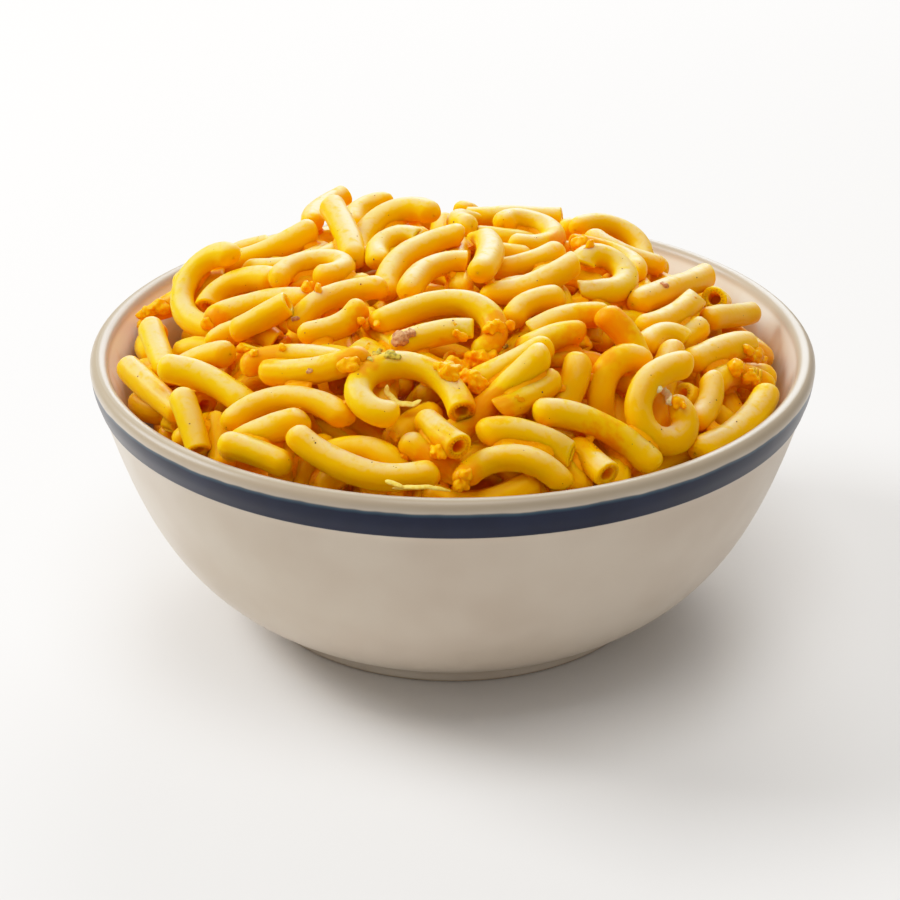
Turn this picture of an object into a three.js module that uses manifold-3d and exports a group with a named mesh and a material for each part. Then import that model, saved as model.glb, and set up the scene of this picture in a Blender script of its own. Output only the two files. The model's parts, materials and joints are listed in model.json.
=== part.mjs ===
// A round stoneware bowl heaped with macaroni and cheese: the bowl is one solid, and the
// heap of hollow elbow noodles is another, a low core with the noodles that show fused on.
// Millimetres, +Z up, the bowl standing on z = 0 with its axis on the Z axis.

import * as THREE from 'three';
import { mergeVertices } from 'three/addons/utils/BufferGeometryUtils.js';
import Module from 'manifold-3d';

// ---- bowl ----
const RIM_RADIUS = 90;
const RIM_HEIGHT = 68.9;
const LIP_RADIUS = 2.3; // half the thickness of the rounded lip
const WALL = 4.8;
const FOOT_RADIUS = 52.3;
const FOOT_INNER_RADIUS = 47;
const FOOT_HEIGHT = 3.2;
const FOOT_RECESS = 2.4;
const FLOOR_HEIGHT = 7.4; // top of the bowl's floor, inside
const BAND_BOTTOM = 59.3; // the painted band stands a little proud of the wall below it
const BAND_STEP = 0.5;
const BAND_BULGE = [89.7, 63.4]; // radius and height halfway up the band
// the outside of the wall from foot to band, as the four points of one cubic curve
const WALL_CURVE = [[52.1, FOOT_HEIGHT], [72, 13], [80.5, 30], [88, BAND_BOTTOM]];
const WALL_STEPS = 8;
const LIP_STEPS = 6;
const ROUND_STEPS = 40; // sides of everything turned about the axis
// how far those sides lie inside the circle
const FLATNESS = RIM_RADIUS * (1 - Math.cos(Math.PI / ROUND_STEPS));

// ---- heap ----
const EDGE_HEIGHT = 65; // middle of the outermost noodles at the rim
const CROWN_RISE = 24; // how much higher they lie at the middle of the heap
const CROWN_POWER = 2.5;
const HEAP_RADIUS = 84;
const SIDE_DROP = 5; // the heap is lower towards one side
const SIDE_AZIMUTH = 15;
const CORE_DEPTH = 4; // the core's top under the middle of the outermost noodles
const CORE_RINGS = 5;
const CLEARANCE = 0.35; // kept between the heap and the bowl
const NORMAL_STEP = 0.5; // the heap's slope is measured over this distance to each side
const MERGE_DISTANCE = 1e-4; // corners nearer than this are one

// ---- noodles ----
const NOODLE_RADIUS = 3.45;
const SIDES = 6;
const SECTION_RADIUS = NOODLE_RADIUS * Math.sqrt((2 * Math.PI) / (SIDES * Math.sin((2 * Math.PI) / SIDES)));
const HOLE_RADIUS = 1.7;
const HOLE_DEPTH = 6;
const HOLE_START = 1; // the tool that cuts a hole starts this far outside the noodle's end
const CONTACT = 5.5; // distance between the centrelines of two soft noodles that touch
const BEADS = 13; // points along a centreline
const CURVE_STEPS = 96; // short steps that a bent centreline is worked out in
const SEGMENT = 6.5; // length of one step of a noodle's solid
const LEAN = 15; // how far the noodles of the front face forward, in degrees

// Noodles that lie on top, outermost first. Each row holds the place of its middle seen from
// above (x, y), heading, length, bend from end to end, how unevenly it bends, and, where they
// are not the usual ones, lift above the heap's form, lean and pitch. Angles are in degrees.
const TOP_NOODLES = [
  [13, -73, 355, 28, -120, -0.5],
  [42, -57, 295, 45, 340, 0.9, 1, 28],
  [66, -44, 55, 35, 35, 1.2],
  [-21, -75, 330, 37, 65, 0.5],
  [-37, -53, 350, 34, -105, -0.5],
  [-18, -51, 15, 50, -285, -0.6, 1, 0],
  [33, -61, 335, 32, -60, -0.5],
  [9, -58, 40, 34, 5, 0.1],
  [2, -26, 345, 45, -205, 1.1, 1, 20],
  [-74, -30, 300, 29, 5, 0],
  [-36, -40, 345, 28, -55, -0.8],
  [-51, -38, 320, 30, -45, -0.2],
  [17, -65, 340, 22, -50, -0.3],
  [35, -45, 85, 25, -160, 0.9, 0, 38],
  [55, 5, 50, 36, 5, 0, 1],
  [-29, -17, 30, 28, -95, 0.4],
  [-47, -11, 180, 28, 75, 0.3, -1],
  [64, -20, 40, 24, -10, 0, 1],
  [27, -27, 25, 20, -35, 0.2],
  [10, -49, 40, 22, -10, 0],
  [23, -39, 30, 17, -25, 0.1],
  [51, -26, 45, 16, -85, 1.4],
  [45, -2, 275, 36, -275, -0.7, 1, 8],
  [20, -15, 20, 26, 65, -0.7],
  [11, 1, 271, 35, -40, -0.3, 0, 6],
  [-7, -10, 60, 26, -75, 1.2, 1, 0],
  [-12, 4, 55, 36, -95, 0.1],
  [-33, 5, 345, 36, -300, 0.7, 0, 0],
  [18, 8, 15, 24, 70, -0.4],
  [26, 33, 105, 40, 280, 0.5, 0, 14],
  [-28, 22, 280, 30, -10, -0.2, 2],
  [-48, 23, 10, 30, 60, 0.3, 1],
  [-67, 8, 260, 43, 210, -0.8, 2, 18],
  [-21, 33, 55, 40, -165, 1, 1, 27],
  [46, 46, 335, 34, -205, 0.3, 5, 35],
  [-36, 48, 80, 29, -55, 1, 6],
  [17, 54, 5, 26, 12, 0, 2, 15, 8],
  [-3, 42, 265, 16, -5, 0, -4, 0, -30],
  [-25, 50, 60, 20, -120, 1, 3, 20],
  [-61, 30, 200, 28, 40, 0, 2],
  [-76, 17, 10, 24, 5, 0, 5],
  [70, 6, 45, 28, -5, 0, 2],
  [-61, -45, 265, 17, -10, 0],
  [-56, -53, 255, 16, 20, -0.1],
  [-72, -14, 280, 22, 0, 0],
  [-19, -67, 340, 24, -110, 0.6],
  [0, -71, 300, 16, 15, 0, 0, 15, 35],
  [31, -71, 300, 14, 10, 0, 0, 15, 35],
  [26, -69, 325, 16, -80, 0.1],
  [28, -52, 270, 15, -25, -0.1],
  [58, -46, 265, 18, -70, -0.2],
  [-42, -25, 10, 16, -5, 0],
  [-51, -24, 345, 20, -120, -0.8, 0, 25],
  [-62, -25, 5, 17, -60, -0.3],
  [-26, -35, 30, 18, 70, 0.4],
  [64, -28, 10, 20, -110, 0.6],
  [63, -37, 345, 18, -35, 0],
  [19, -56, 40, 18, 30, 0.3],
  [11, -52, 35, 16, -20, 0],
  [-5, -38, 20, 20, -35, 0.2],
  [-16, 14, 65, 22, -155, 0.6],
  [26, 6, 355, 20, -110, 0.4, 0, 25],
  [43, 29, 345, 24, 95, -0.7],
  [16, -25, 25, 18, -85, -0.8],
  [43, -27, 320, 18, -55, -0.2],
  [54, -13, 45, 26, 25, -0.6],
  [55, -17, 55, 24, -5, 0],
  [-55, 8, 355, 24, -120, -0.8, 0, 28],
  [-29, -51, 0, 28, 40, 0.2],
  [-42, -61, 20, 22, -15, 0],
  [-10, -67, 40, 16, -75, 0],
  [-6, -72, 325, 16, 10, 0],
  [-63, -17, 335, 20, -55, -0.7],
  [-66, -36, 10, 14, -110, -0.4],
  [-65, -46, 45, 14, -90, 0],
  [-40, -67, 260, 14, -30, 0],
  [-48, -65, 330, 18, -15, 0],
  [-34, -70, 55, 16, -45, 0.2],
  [77, -15, 20, 14, -30, 0],
  [-76, -11, 345, 14, -100, -0.6],
];
// which of those show an open end, and at which end
const OPEN_ENDS = [[46, 1], [47, 1], [5, 1], [17, 1], [36, 0], [14, 1], [35, 1]];

// Each may shift a little to lie beside its neighbours.
const NUDGES = 150;
const NUDGE = 5;
const NUDGE_TURN = 12;
const NUDGE_COST = 0.25;
const TURN_COST = 0.05;
const MOST_OUTWARDS = 2.5;
const WALL_ROUNDS = 6; // times that a noodle may be moved in from the wall
const WALL_EXTRA = 0.01; // how much further than it needs to, each time

// The noodles between and behind them are drawn by a seeded rule: in rounds that reach deeper,
// each spot that is still bare gets the best of a few.
const SEED = 20417;
const ROUNDS = [1.5, 3.2, 5, 7.5];
const SPOTS = 520;
const SPOT_STRIDE = 199; // the order in which the spots are visited
const SPOT_ANGLE = 137.508; // degrees between one spot and the next on their spiral
const SPOT_COVER = 3.6; // a centreline this near covers a spot
const TRIES = 24;
const TRY_SHIFT = 5;
const FRONT_EDGE = 20; // nearer than this, they are only tucked in below
const FRONT_DEPTH = 3;
const FILL_LENGTH = [23, 40];
const FILL_BEND = [10, 200];
const FILL_UNEVEN = 0.8;
const FILL_TILT = 8;
const FILL_HEIGHT = 5.5; // their centrelines stay this near the heap's form

// Of all these, the solid shows those that lie high and are long or show an open end.
const SHOWN_DEPTH = 4;
const SHOWN_LENGTH = 17;

// ---- small helpers ----

const radians = (degrees) => (degrees * Math.PI) / 180;

let drawState = SEED;
function draw(low, high) {
  drawState = (drawState * 1664525 + 1013904223) % 4294967296;
  return low + ((high - low) * drawState) / 4294967296;
}

const along = (p, v, t) => [p[0] + v[0] * t, p[1] + v[1] * t, p[2] + v[2] * t];
const dot = (a, b) => a[0] * b[0] + a[1] * b[1] + a[2] * b[2];
const cross = (a, b) => [
  a[1] * b[2] - a[2] * b[1],
  a[2] * b[0] - a[0] * b[2],
  a[0] * b[1] - a[1] * b[0],
];
function unit(v) {
  const size = Math.sqrt(dot(v, v));
  return [v[0] / size, v[1] / size, v[2] / size];
}

function signedVolume(geometry) {
  const p = geometry.attributes.position.array;
  const index = geometry.index.array;
  const corner = (i) => [p[3 * index[i]], p[3 * index[i] + 1], p[3 * index[i] + 2]];
  let six = 0;
  for (let i = 0; i < index.length; i += 3) six += dot(corner(i), cross(corner(i + 1), corner(i + 2)));
  return six / 6;
}

// a closed mesh with shared corners, its faces turned to point out
function closed(geometry) {
  geometry.deleteAttribute('normal');
  geometry.deleteAttribute('uv');
  const merged = mergeVertices(geometry, MERGE_DISTANCE);
  if (signedVolume(merged) < 0) merged.index.array.reverse();
  return merged;
}

// ---- bowl ----

// a point of the wall's outside, moved inwards by a depth; t runs from 0 at the foot to 1
function wallPoint(t, depth) {
  const [a, b, c, d] = WALL_CURVE;
  const s = 1 - t;
  const at = (k) => s * s * s * a[k] + 3 * s * s * t * b[k] + 3 * s * t * t * c[k] + t * t * t * d[k];
  const slope = (k) => 3 * s * s * (b[k] - a[k]) + 6 * s * t * (c[k] - b[k]) + 3 * t * t * (d[k] - c[k]);
  const size = Math.hypot(slope(0), slope(1));
  return [at(0) - (slope(1) / size) * depth, at(1) + (slope(0) / size) * depth];
}

const LIP_CENTRE = [RIM_RADIUS - LIP_RADIUS, RIM_HEIGHT - LIP_RADIUS];

// the inside of the bowl from its floor to the lip, a depth further in
function insideProfile(depth) {
  const points = [[0, FLOOR_HEIGHT + depth]];
  for (let i = 0; i <= WALL_STEPS; i++) {
    const [radius, height] = wallPoint(i / WALL_STEPS, WALL + depth);
    points.push([radius, Math.max(height, FLOOR_HEIGHT + depth)]);
  }
  points.push([LIP_CENTRE[0] - LIP_RADIUS - depth, LIP_CENTRE[1]]);
  return points;
}

function bowlGeometry() {
  const outside = [[0, FOOT_RECESS], [FOOT_INNER_RADIUS - FOOT_RECESS, FOOT_RECESS]];
  outside.push([FOOT_INNER_RADIUS, 0], [FOOT_RADIUS, 0]);
  for (let i = 0; i <= WALL_STEPS; i++) outside.push(wallPoint(i / WALL_STEPS, 0));
  outside.push([WALL_CURVE[3][0] + BAND_STEP, BAND_BOTTOM + BAND_STEP / 2], BAND_BULGE);
  const lip = [];
  for (let i = 0; i < LIP_STEPS; i++) {
    const angle = (Math.PI * i) / LIP_STEPS;
    lip.push([LIP_CENTRE[0] + LIP_RADIUS * Math.cos(angle), LIP_CENTRE[1] + LIP_RADIUS * Math.sin(angle)]);
  }
  const profile = [...outside, ...lip, ...insideProfile(0).reverse()];
  const points = profile.map(([radius, height]) => new THREE.Vector2(radius, height));
  return closed(new THREE.LatheGeometry(points, ROUND_STEPS).rotateX(Math.PI / 2));
}

// ---- form of the heap ----

// height of the middle of the outermost noodles above a place in the bowl
function crown(x, y) {
  const t = Math.min(Math.sqrt(x * x + y * y) / HEAP_RADIUS, 1);
  const drop = SIDE_DROP * Math.max(0, Math.cos(Math.atan2(y, x) - radians(SIDE_AZIMUTH)));
  return EDGE_HEIGHT + CROWN_RISE * (1 - t ** CROWN_POWER) - drop * t * t;
}

function crownNormal(x, y) {
  const slopeX = crown(x + NORMAL_STEP, y) - crown(x - NORMAL_STEP, y);
  const slopeY = crown(x, y + NORMAL_STEP) - crown(x, y - NORMAL_STEP);
  return unit([-slopeX, -slopeY, 2 * NORMAL_STEP]);
}

function coreGeometry() {
  const wall = insideProfile(CLEARANCE).slice(0, -1);
  const points = wall.map(([radius, height]) => new THREE.Vector2(radius, height));
  const wallCount = points.length;
  const edge = points[wallCount - 1];
  for (let ring = CORE_RINGS; ring >= 0; ring--) {
    points.push(new THREE.Vector2((edge.x * ring) / (CORE_RINGS + 1), 0));
  }
  const core = new THREE.LatheGeometry(points, ROUND_STEPS).rotateX(Math.PI / 2);
  const place = core.attributes.position;
  for (let i = 0; i < place.count; i++) {
    if (i % points.length < wallCount) continue;
    place.setZ(i, crown(place.getX(i), place.getY(i)) - CORE_DEPTH);
  }
  return closed(core);
}

// ---- placing the noodles ----

// radius that a centreline may reach at a height, so that the noodle clears the wall and lip
const REACH = SECTION_RADIUS + CLEARANCE + FLATNESS;
const INSIDE = insideProfile(0);
function reachAt(height) {
  const overLip = height - LIP_CENTRE[1];
  const around = LIP_RADIUS + REACH;
  if (overLip > around) return RIM_RADIUS - SECTION_RADIUS;
  if (overLip > 0) return LIP_CENTRE[0] - Math.sqrt(around * around - overLip * overLip);
  let i = INSIDE.length - 1;
  while (i > 1 && INSIDE[i - 1][1] > height) i--;
  const [below, above] = [INSIDE[i - 1], INSIDE[i]];
  return below[0] + ((above[0] - below[0]) * (height - below[1])) / (above[1] - below[1]) - REACH;
}

// A noodle bends in one plane. Its bend grows or eases along it by the share `uneven`.
function layNoodle([x, y, heading, length, bend, uneven, lift = 0, lean = LEAN, pitch = 0], roll = 0) {
  const [nx, ny, nz] = crownNormal(x, y);
  const [leanCos, leanSin] = [Math.cos(radians(lean)), Math.sin(radians(lean))];
  let up = [nx, ny * leanCos - nz * leanSin, ny * leanSin + nz * leanCos];
  const ahead = [Math.cos(radians(heading)), Math.sin(radians(heading)), 0];
  let forward = unit(along(ahead, up, -dot(ahead, up)));
  const side = cross(up, forward);
  const nose = radians(pitch);
  [forward, up] = [
    along(along([0, 0, 0], forward, Math.cos(nose)), up, Math.sin(nose)),
    along(along([0, 0, 0], up, Math.cos(nose)), forward, -Math.sin(nose)),
  ];
  const tip = radians(roll);
  const across = along(along([0, 0, 0], side, Math.cos(tip)), up, Math.sin(tip));
  up = cross(forward, across);
  const flat = [[0, 0]];
  for (let i = 0; i < CURVE_STEPS; i++) {
    const s = (i + 0.5) / CURVE_STEPS - 0.5;
    const angle = radians(bend) * (s + uneven * s * s);
    const [u, v] = flat[i];
    flat.push([
      u + (Math.cos(angle) * length) / CURVE_STEPS,
      v + (Math.sin(angle) * length) / CURVE_STEPS,
    ]);
  }
  const [middleU, middleV] = flat[CURVE_STEPS / 2];
  const centre = [x, y, crown(x, y) + lift];
  const beads = [];
  for (let i = 0; i < BEADS; i++) {
    const [u, v] = flat[(i * CURVE_STEPS) / (BEADS - 1)];
    beads.push(along(along(centre, forward, u - middleU), across, v - middleV));
  }
  return { beads, up, length, depth: 0 };
}

// how far a noodle reaches into the wall or lip, and the place of that bead
function wallReach(beads) {
  let worst = 0;
  let where = null;
  for (const bead of beads) {
    const over = Math.sqrt(bead[0] * bead[0] + bead[1] * bead[1]) - reachAt(bead[2]);
    if (over > worst) [worst, where] = [over, bead];
  }
  return [worst, where];
}

function clearOfWall(noodle) {
  for (let round = 0; round < WALL_ROUNDS; round++) {
    const [over, where] = wallReach(noodle.beads);
    if (over === 0) return;
    const size = Math.sqrt(where[0] * where[0] + where[1] * where[1]);
    const inwards = [-where[0] / size, -where[1] / size, 0];
    noodle.beads = noodle.beads.map((bead) => along(bead, inwards, over + WALL_EXTRA));
  }
}

// How far in a noodle has to be pushed to clear those already placed, from a starting depth.
// A little way out is chosen instead where that is nearer.
function freeDepth(noodle, placed, start) {
  const blocked = [];
  for (const bead of noodle.beads) {
    for (const other of placed) {
      for (const point of other.beads) {
        const away = [bead[0] - point[0], bead[1] - point[1], bead[2] - point[2]];
        const ahead = dot(away, noodle.up);
        const room = ahead * ahead - dot(away, away) + CONTACT * CONTACT;
        if (room <= 0) continue;
        const reach = Math.sqrt(room);
        blocked.push([ahead - reach, ahead + reach]);
      }
    }
  }
  blocked.sort((a, b) => a[0] - b[0]);
  let low = -Infinity;
  let high = -Infinity;
  for (const [from, to] of blocked) {
    if (from > Math.max(high, start)) break;
    if (from > high) low = from;
    high = Math.max(high, to);
  }
  if (high <= start) return start;
  return start - low < Math.min(MOST_OUTWARDS, high - start) ? low : high;
}

function pushIn(noodle, depth) {
  noodle.beads = noodle.beads.map((bead) => along(bead, noodle.up, -depth));
  noodle.depth = depth;
}

// Lays a noodle where it has to be pushed in least, within a short way of its own place.
function settle(row, placed) {
  let best = null;
  let least = Infinity;
  for (let i = 0; i < NUDGES; i++) {
    const reach = i / NUDGES;
    const [dx, dy] = [draw(-NUDGE, NUDGE) * reach, draw(-NUDGE, NUDGE) * reach];
    const turn = draw(-NUDGE_TURN, NUDGE_TURN) * reach;
    const tilt = draw(-NUDGE_TURN, NUDGE_TURN) * reach;
    const [x, y, heading, length, bend, uneven, lift = 0, lean = LEAN, pitch = 0] = row;
    const nudged = [x + dx, y + dy, heading + turn, length, bend, uneven, lift, lean, pitch + tilt];
    const noodle = layNoodle(nudged);
    clearOfWall(noodle);
    const depth = freeDepth(noodle, placed, 0);
    const cost = Math.abs(depth) + NUDGE_COST * (Math.abs(dx) + Math.abs(dy)) + TURN_COST * Math.abs(turn);
    if (cost >= least) continue;
    least = cost;
    best = noodle;
    noodle.depth = depth;
  }
  pushIn(best, best.depth);
  clearOfWall(best);
  return best;
}

const standsProud = ([x, y, z]) => z > crown(x, y) + FILL_HEIGHT;

function isBare(x, y, placed, deepest) {
  for (const noodle of placed) {
    if (noodle.depth > deepest) continue;
    for (const bead of noodle.beads) {
      if ((bead[0] - x) ** 2 + (bead[1] - y) ** 2 < SPOT_COVER * SPOT_COVER) return false;
    }
  }
  return true;
}

function fillSpot(spotX, spotY, placed, deepest) {
  let best = null;
  let least = deepest;
  for (let i = 0; i < TRIES; i++) {
    const [x, y] = [spotX + draw(-TRY_SHIFT, TRY_SHIFT), spotY + draw(-TRY_SHIFT, TRY_SHIFT)];
    const heading = draw(0, 360);
    const length = draw(...FILL_LENGTH);
    const bend = draw(...FILL_BEND);
    const uneven = draw(-FILL_UNEVEN, FILL_UNEVEN);
    const pitch = draw(-FILL_TILT, FILL_TILT);
    const roll = draw(-FILL_TILT, FILL_TILT);
    const noodle = layNoodle([x, y, heading, length, bend, uneven, 0, y < 0 ? LEAN : 0, pitch], roll);
    clearOfWall(noodle);
    const depth = freeDepth(noodle, placed, y < FRONT_EDGE ? FRONT_DEPTH : 0);
    if (Math.abs(depth) > least) continue;
    pushIn(noodle, depth);
    if (wallReach(noodle.beads)[0] > 0 || noodle.beads.some(standsProud)) continue;
    least = Math.abs(depth);
    best = noodle;
  }
  if (best) placed.push(best);
}

function placeNoodles() {
  const placed = [];
  for (const row of TOP_NOODLES) placed.push(settle(row, placed));
  for (const deepest of ROUNDS) {
    for (let i = 0; i < SPOTS; i++) {
      const spot = (i * SPOT_STRIDE) % SPOTS;
      const radius = HEAP_RADIUS * Math.sqrt((spot + 0.5) / SPOTS);
      const azimuth = radians(spot * SPOT_ANGLE);
      const [x, y] = [radius * Math.cos(azimuth), radius * Math.sin(azimuth)];
      if (isBare(x, y, placed, deepest)) fillSpot(x, y, placed, deepest);
    }
  }
  return placed;
}

// ---- solids ----

function hexagon(radius) {
  const shape = new THREE.Shape();
  for (let i = 0; i < SIDES; i++) {
    const angle = (2 * Math.PI * i) / SIDES;
    const [u, v] = [radius * Math.cos(angle), radius * Math.sin(angle)];
    if (i === 0) shape.moveTo(u, v);
    else shape.lineTo(u, v);
  }
  return shape;
}

function tube(points, radius, steps) {
  const extrudePath = new THREE.CatmullRomCurve3(points.map((p) => new THREE.Vector3(...p)));
  const options = { steps, extrudePath, bevelEnabled: false };
  return closed(new THREE.ExtrudeGeometry(hexagon(radius), options));
}

function holePlug(noodle, end) {
  const beads = end === 1 ? noodle.beads.slice(-2) : noodle.beads.slice(0, 2).reverse();
  const outwards = unit([0, 1, 2].map((k) => beads[1][k] - beads[0][k]));
  const bottom = along(beads[1], outwards, -HOLE_DEPTH);
  return tube([bottom, along(beads[1], outwards, HOLE_START)], HOLE_RADIUS, 1);
}

function heapGeometry(wasm) {
  const solid = (geometry) =>
    new wasm.Manifold(
      new wasm.Mesh({
        numProp: 3,
        vertProperties: new Float32Array(geometry.attributes.position.array),
        triVerts: new Uint32Array(geometry.index.array),
      }),
    );
  const noodles = placeNoodles();
  const opened = OPEN_ENDS.map(([row]) => row);
  let heap = solid(coreGeometry());
  for (const [index, noodle] of noodles.entries()) {
    const wanted = noodle.length >= SHOWN_LENGTH || opened.includes(index);
    if (noodle.depth > SHOWN_DEPTH || !wanted) continue;
    const steps = Math.max(3, Math.round(noodle.length / SEGMENT));
    heap = heap.add(solid(tube(noodle.beads, SECTION_RADIUS, steps)));
  }
  for (const [row, end] of OPEN_ENDS) heap = heap.subtract(solid(holePlug(noodles[row], end)));
  const pieces = heap.decompose().sort((a, b) => b.volume() - a.volume());
  const mesh = pieces[0].getMesh();
  const geometry = new THREE.BufferGeometry();
  geometry.setAttribute('position', new THREE.BufferAttribute(new Float32Array(mesh.vertProperties), 3));
  geometry.setIndex(new THREE.BufferAttribute(new Uint32Array(mesh.triVerts), 1));
  return geometry;
}

// ---- the object ----

const wasm = await Module();
wasm.setup();

const glazedStoneware = new THREE.MeshStandardMaterial({ color: '#e6dccf', roughness: 0.3, metalness: 0 });
const cookedPasta = new THREE.MeshStandardMaterial({ color: '#eeb21c', roughness: 0.35, metalness: 0 });

function named(name, geometry, material) {
  const mesh = new THREE.Mesh(geometry, material);
  mesh.name = name;
  return mesh;
}

const macAndCheese = new THREE.Group();
macAndCheese.add(named('bowl', bowlGeometry(), glazedStoneware));
macAndCheese.add(named('macaroni', heapGeometry(wasm), cookedPasta));

export default macAndCheese;
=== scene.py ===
import json
import math
from functools import partial

import bpy
import numpy as np
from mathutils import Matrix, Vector, noise
from mathutils.bvhtree import BVHTree

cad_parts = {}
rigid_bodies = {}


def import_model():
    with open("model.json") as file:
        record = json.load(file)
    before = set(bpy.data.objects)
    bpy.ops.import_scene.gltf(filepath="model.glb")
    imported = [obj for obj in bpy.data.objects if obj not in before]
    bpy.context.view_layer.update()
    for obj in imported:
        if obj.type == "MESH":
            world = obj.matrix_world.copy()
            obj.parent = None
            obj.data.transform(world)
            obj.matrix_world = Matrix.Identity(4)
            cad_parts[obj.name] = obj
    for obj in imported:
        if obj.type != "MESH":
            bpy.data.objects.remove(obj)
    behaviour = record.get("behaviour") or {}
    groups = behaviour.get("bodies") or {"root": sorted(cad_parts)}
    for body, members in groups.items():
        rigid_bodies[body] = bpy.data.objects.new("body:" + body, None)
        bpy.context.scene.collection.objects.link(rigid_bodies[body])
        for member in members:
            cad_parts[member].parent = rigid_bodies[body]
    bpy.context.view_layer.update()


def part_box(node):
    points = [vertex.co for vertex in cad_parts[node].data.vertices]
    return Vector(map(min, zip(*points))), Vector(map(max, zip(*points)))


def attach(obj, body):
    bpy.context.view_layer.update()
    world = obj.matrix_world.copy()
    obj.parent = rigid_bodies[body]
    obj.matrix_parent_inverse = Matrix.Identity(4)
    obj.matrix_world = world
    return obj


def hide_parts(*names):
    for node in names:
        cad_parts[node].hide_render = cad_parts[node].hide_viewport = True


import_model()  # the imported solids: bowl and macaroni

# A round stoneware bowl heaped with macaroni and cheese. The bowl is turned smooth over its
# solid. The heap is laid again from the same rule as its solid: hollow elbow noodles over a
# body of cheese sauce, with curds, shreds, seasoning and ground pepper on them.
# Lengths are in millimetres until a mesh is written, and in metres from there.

MM = 0.001

# ---- bowl ----
BOWL_CORNER = np.array(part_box("bowl")[1]) / MM
RIM_RADIUS = float(BOWL_CORNER[0])
RIM_HEIGHT = float(BOWL_CORNER[2])
LIP_RADIUS = 2.3
WALL = 4.8
FOOT_RADIUS = 52.3
FOOT_INNER_RADIUS = 47
FOOT_HEIGHT = 3.2
FOOT_RECESS = 2.4
FLOOR_HEIGHT = 7.4
BAND_BOTTOM = 59.3
BAND_TOP = 66.2
BAND_STEP = 0.5
BAND_BULGE = (89.7, 63.4)
WALL_CURVE = ((52.1, FOOT_HEIGHT), (72, 13), (80.5, 30), (88, BAND_BOTTOM))
WALL_STEPS = 8
ROUND_STEPS = 40  # sides of the solid bowl
FLATNESS = RIM_RADIUS * (1 - math.cos(math.pi / ROUND_STEPS))
LIP_CENTRE = (RIM_RADIUS - LIP_RADIUS, RIM_HEIGHT - LIP_RADIUS)

# ---- heap ----
EDGE_HEIGHT = 65
CROWN_RISE = 24
CROWN_POWER = 2.5
HEAP_RADIUS = 84
SIDE_DROP = 5
SIDE_AZIMUTH = 15
CLEARANCE = 0.35

# ---- noodles ----
NOODLE_RADIUS = 3.45
NOODLE_WALL = 1.75
SIDES = 6  # of the solid noodles, whose section has the area of the round one
SECTION_RADIUS = NOODLE_RADIUS * math.sqrt(2 * math.pi / (SIDES * math.sin(2 * math.pi / SIDES)))
CONTACT = 5.5
BEADS = 13
CURVE_STEPS = 96
LEAN = 15

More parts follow.
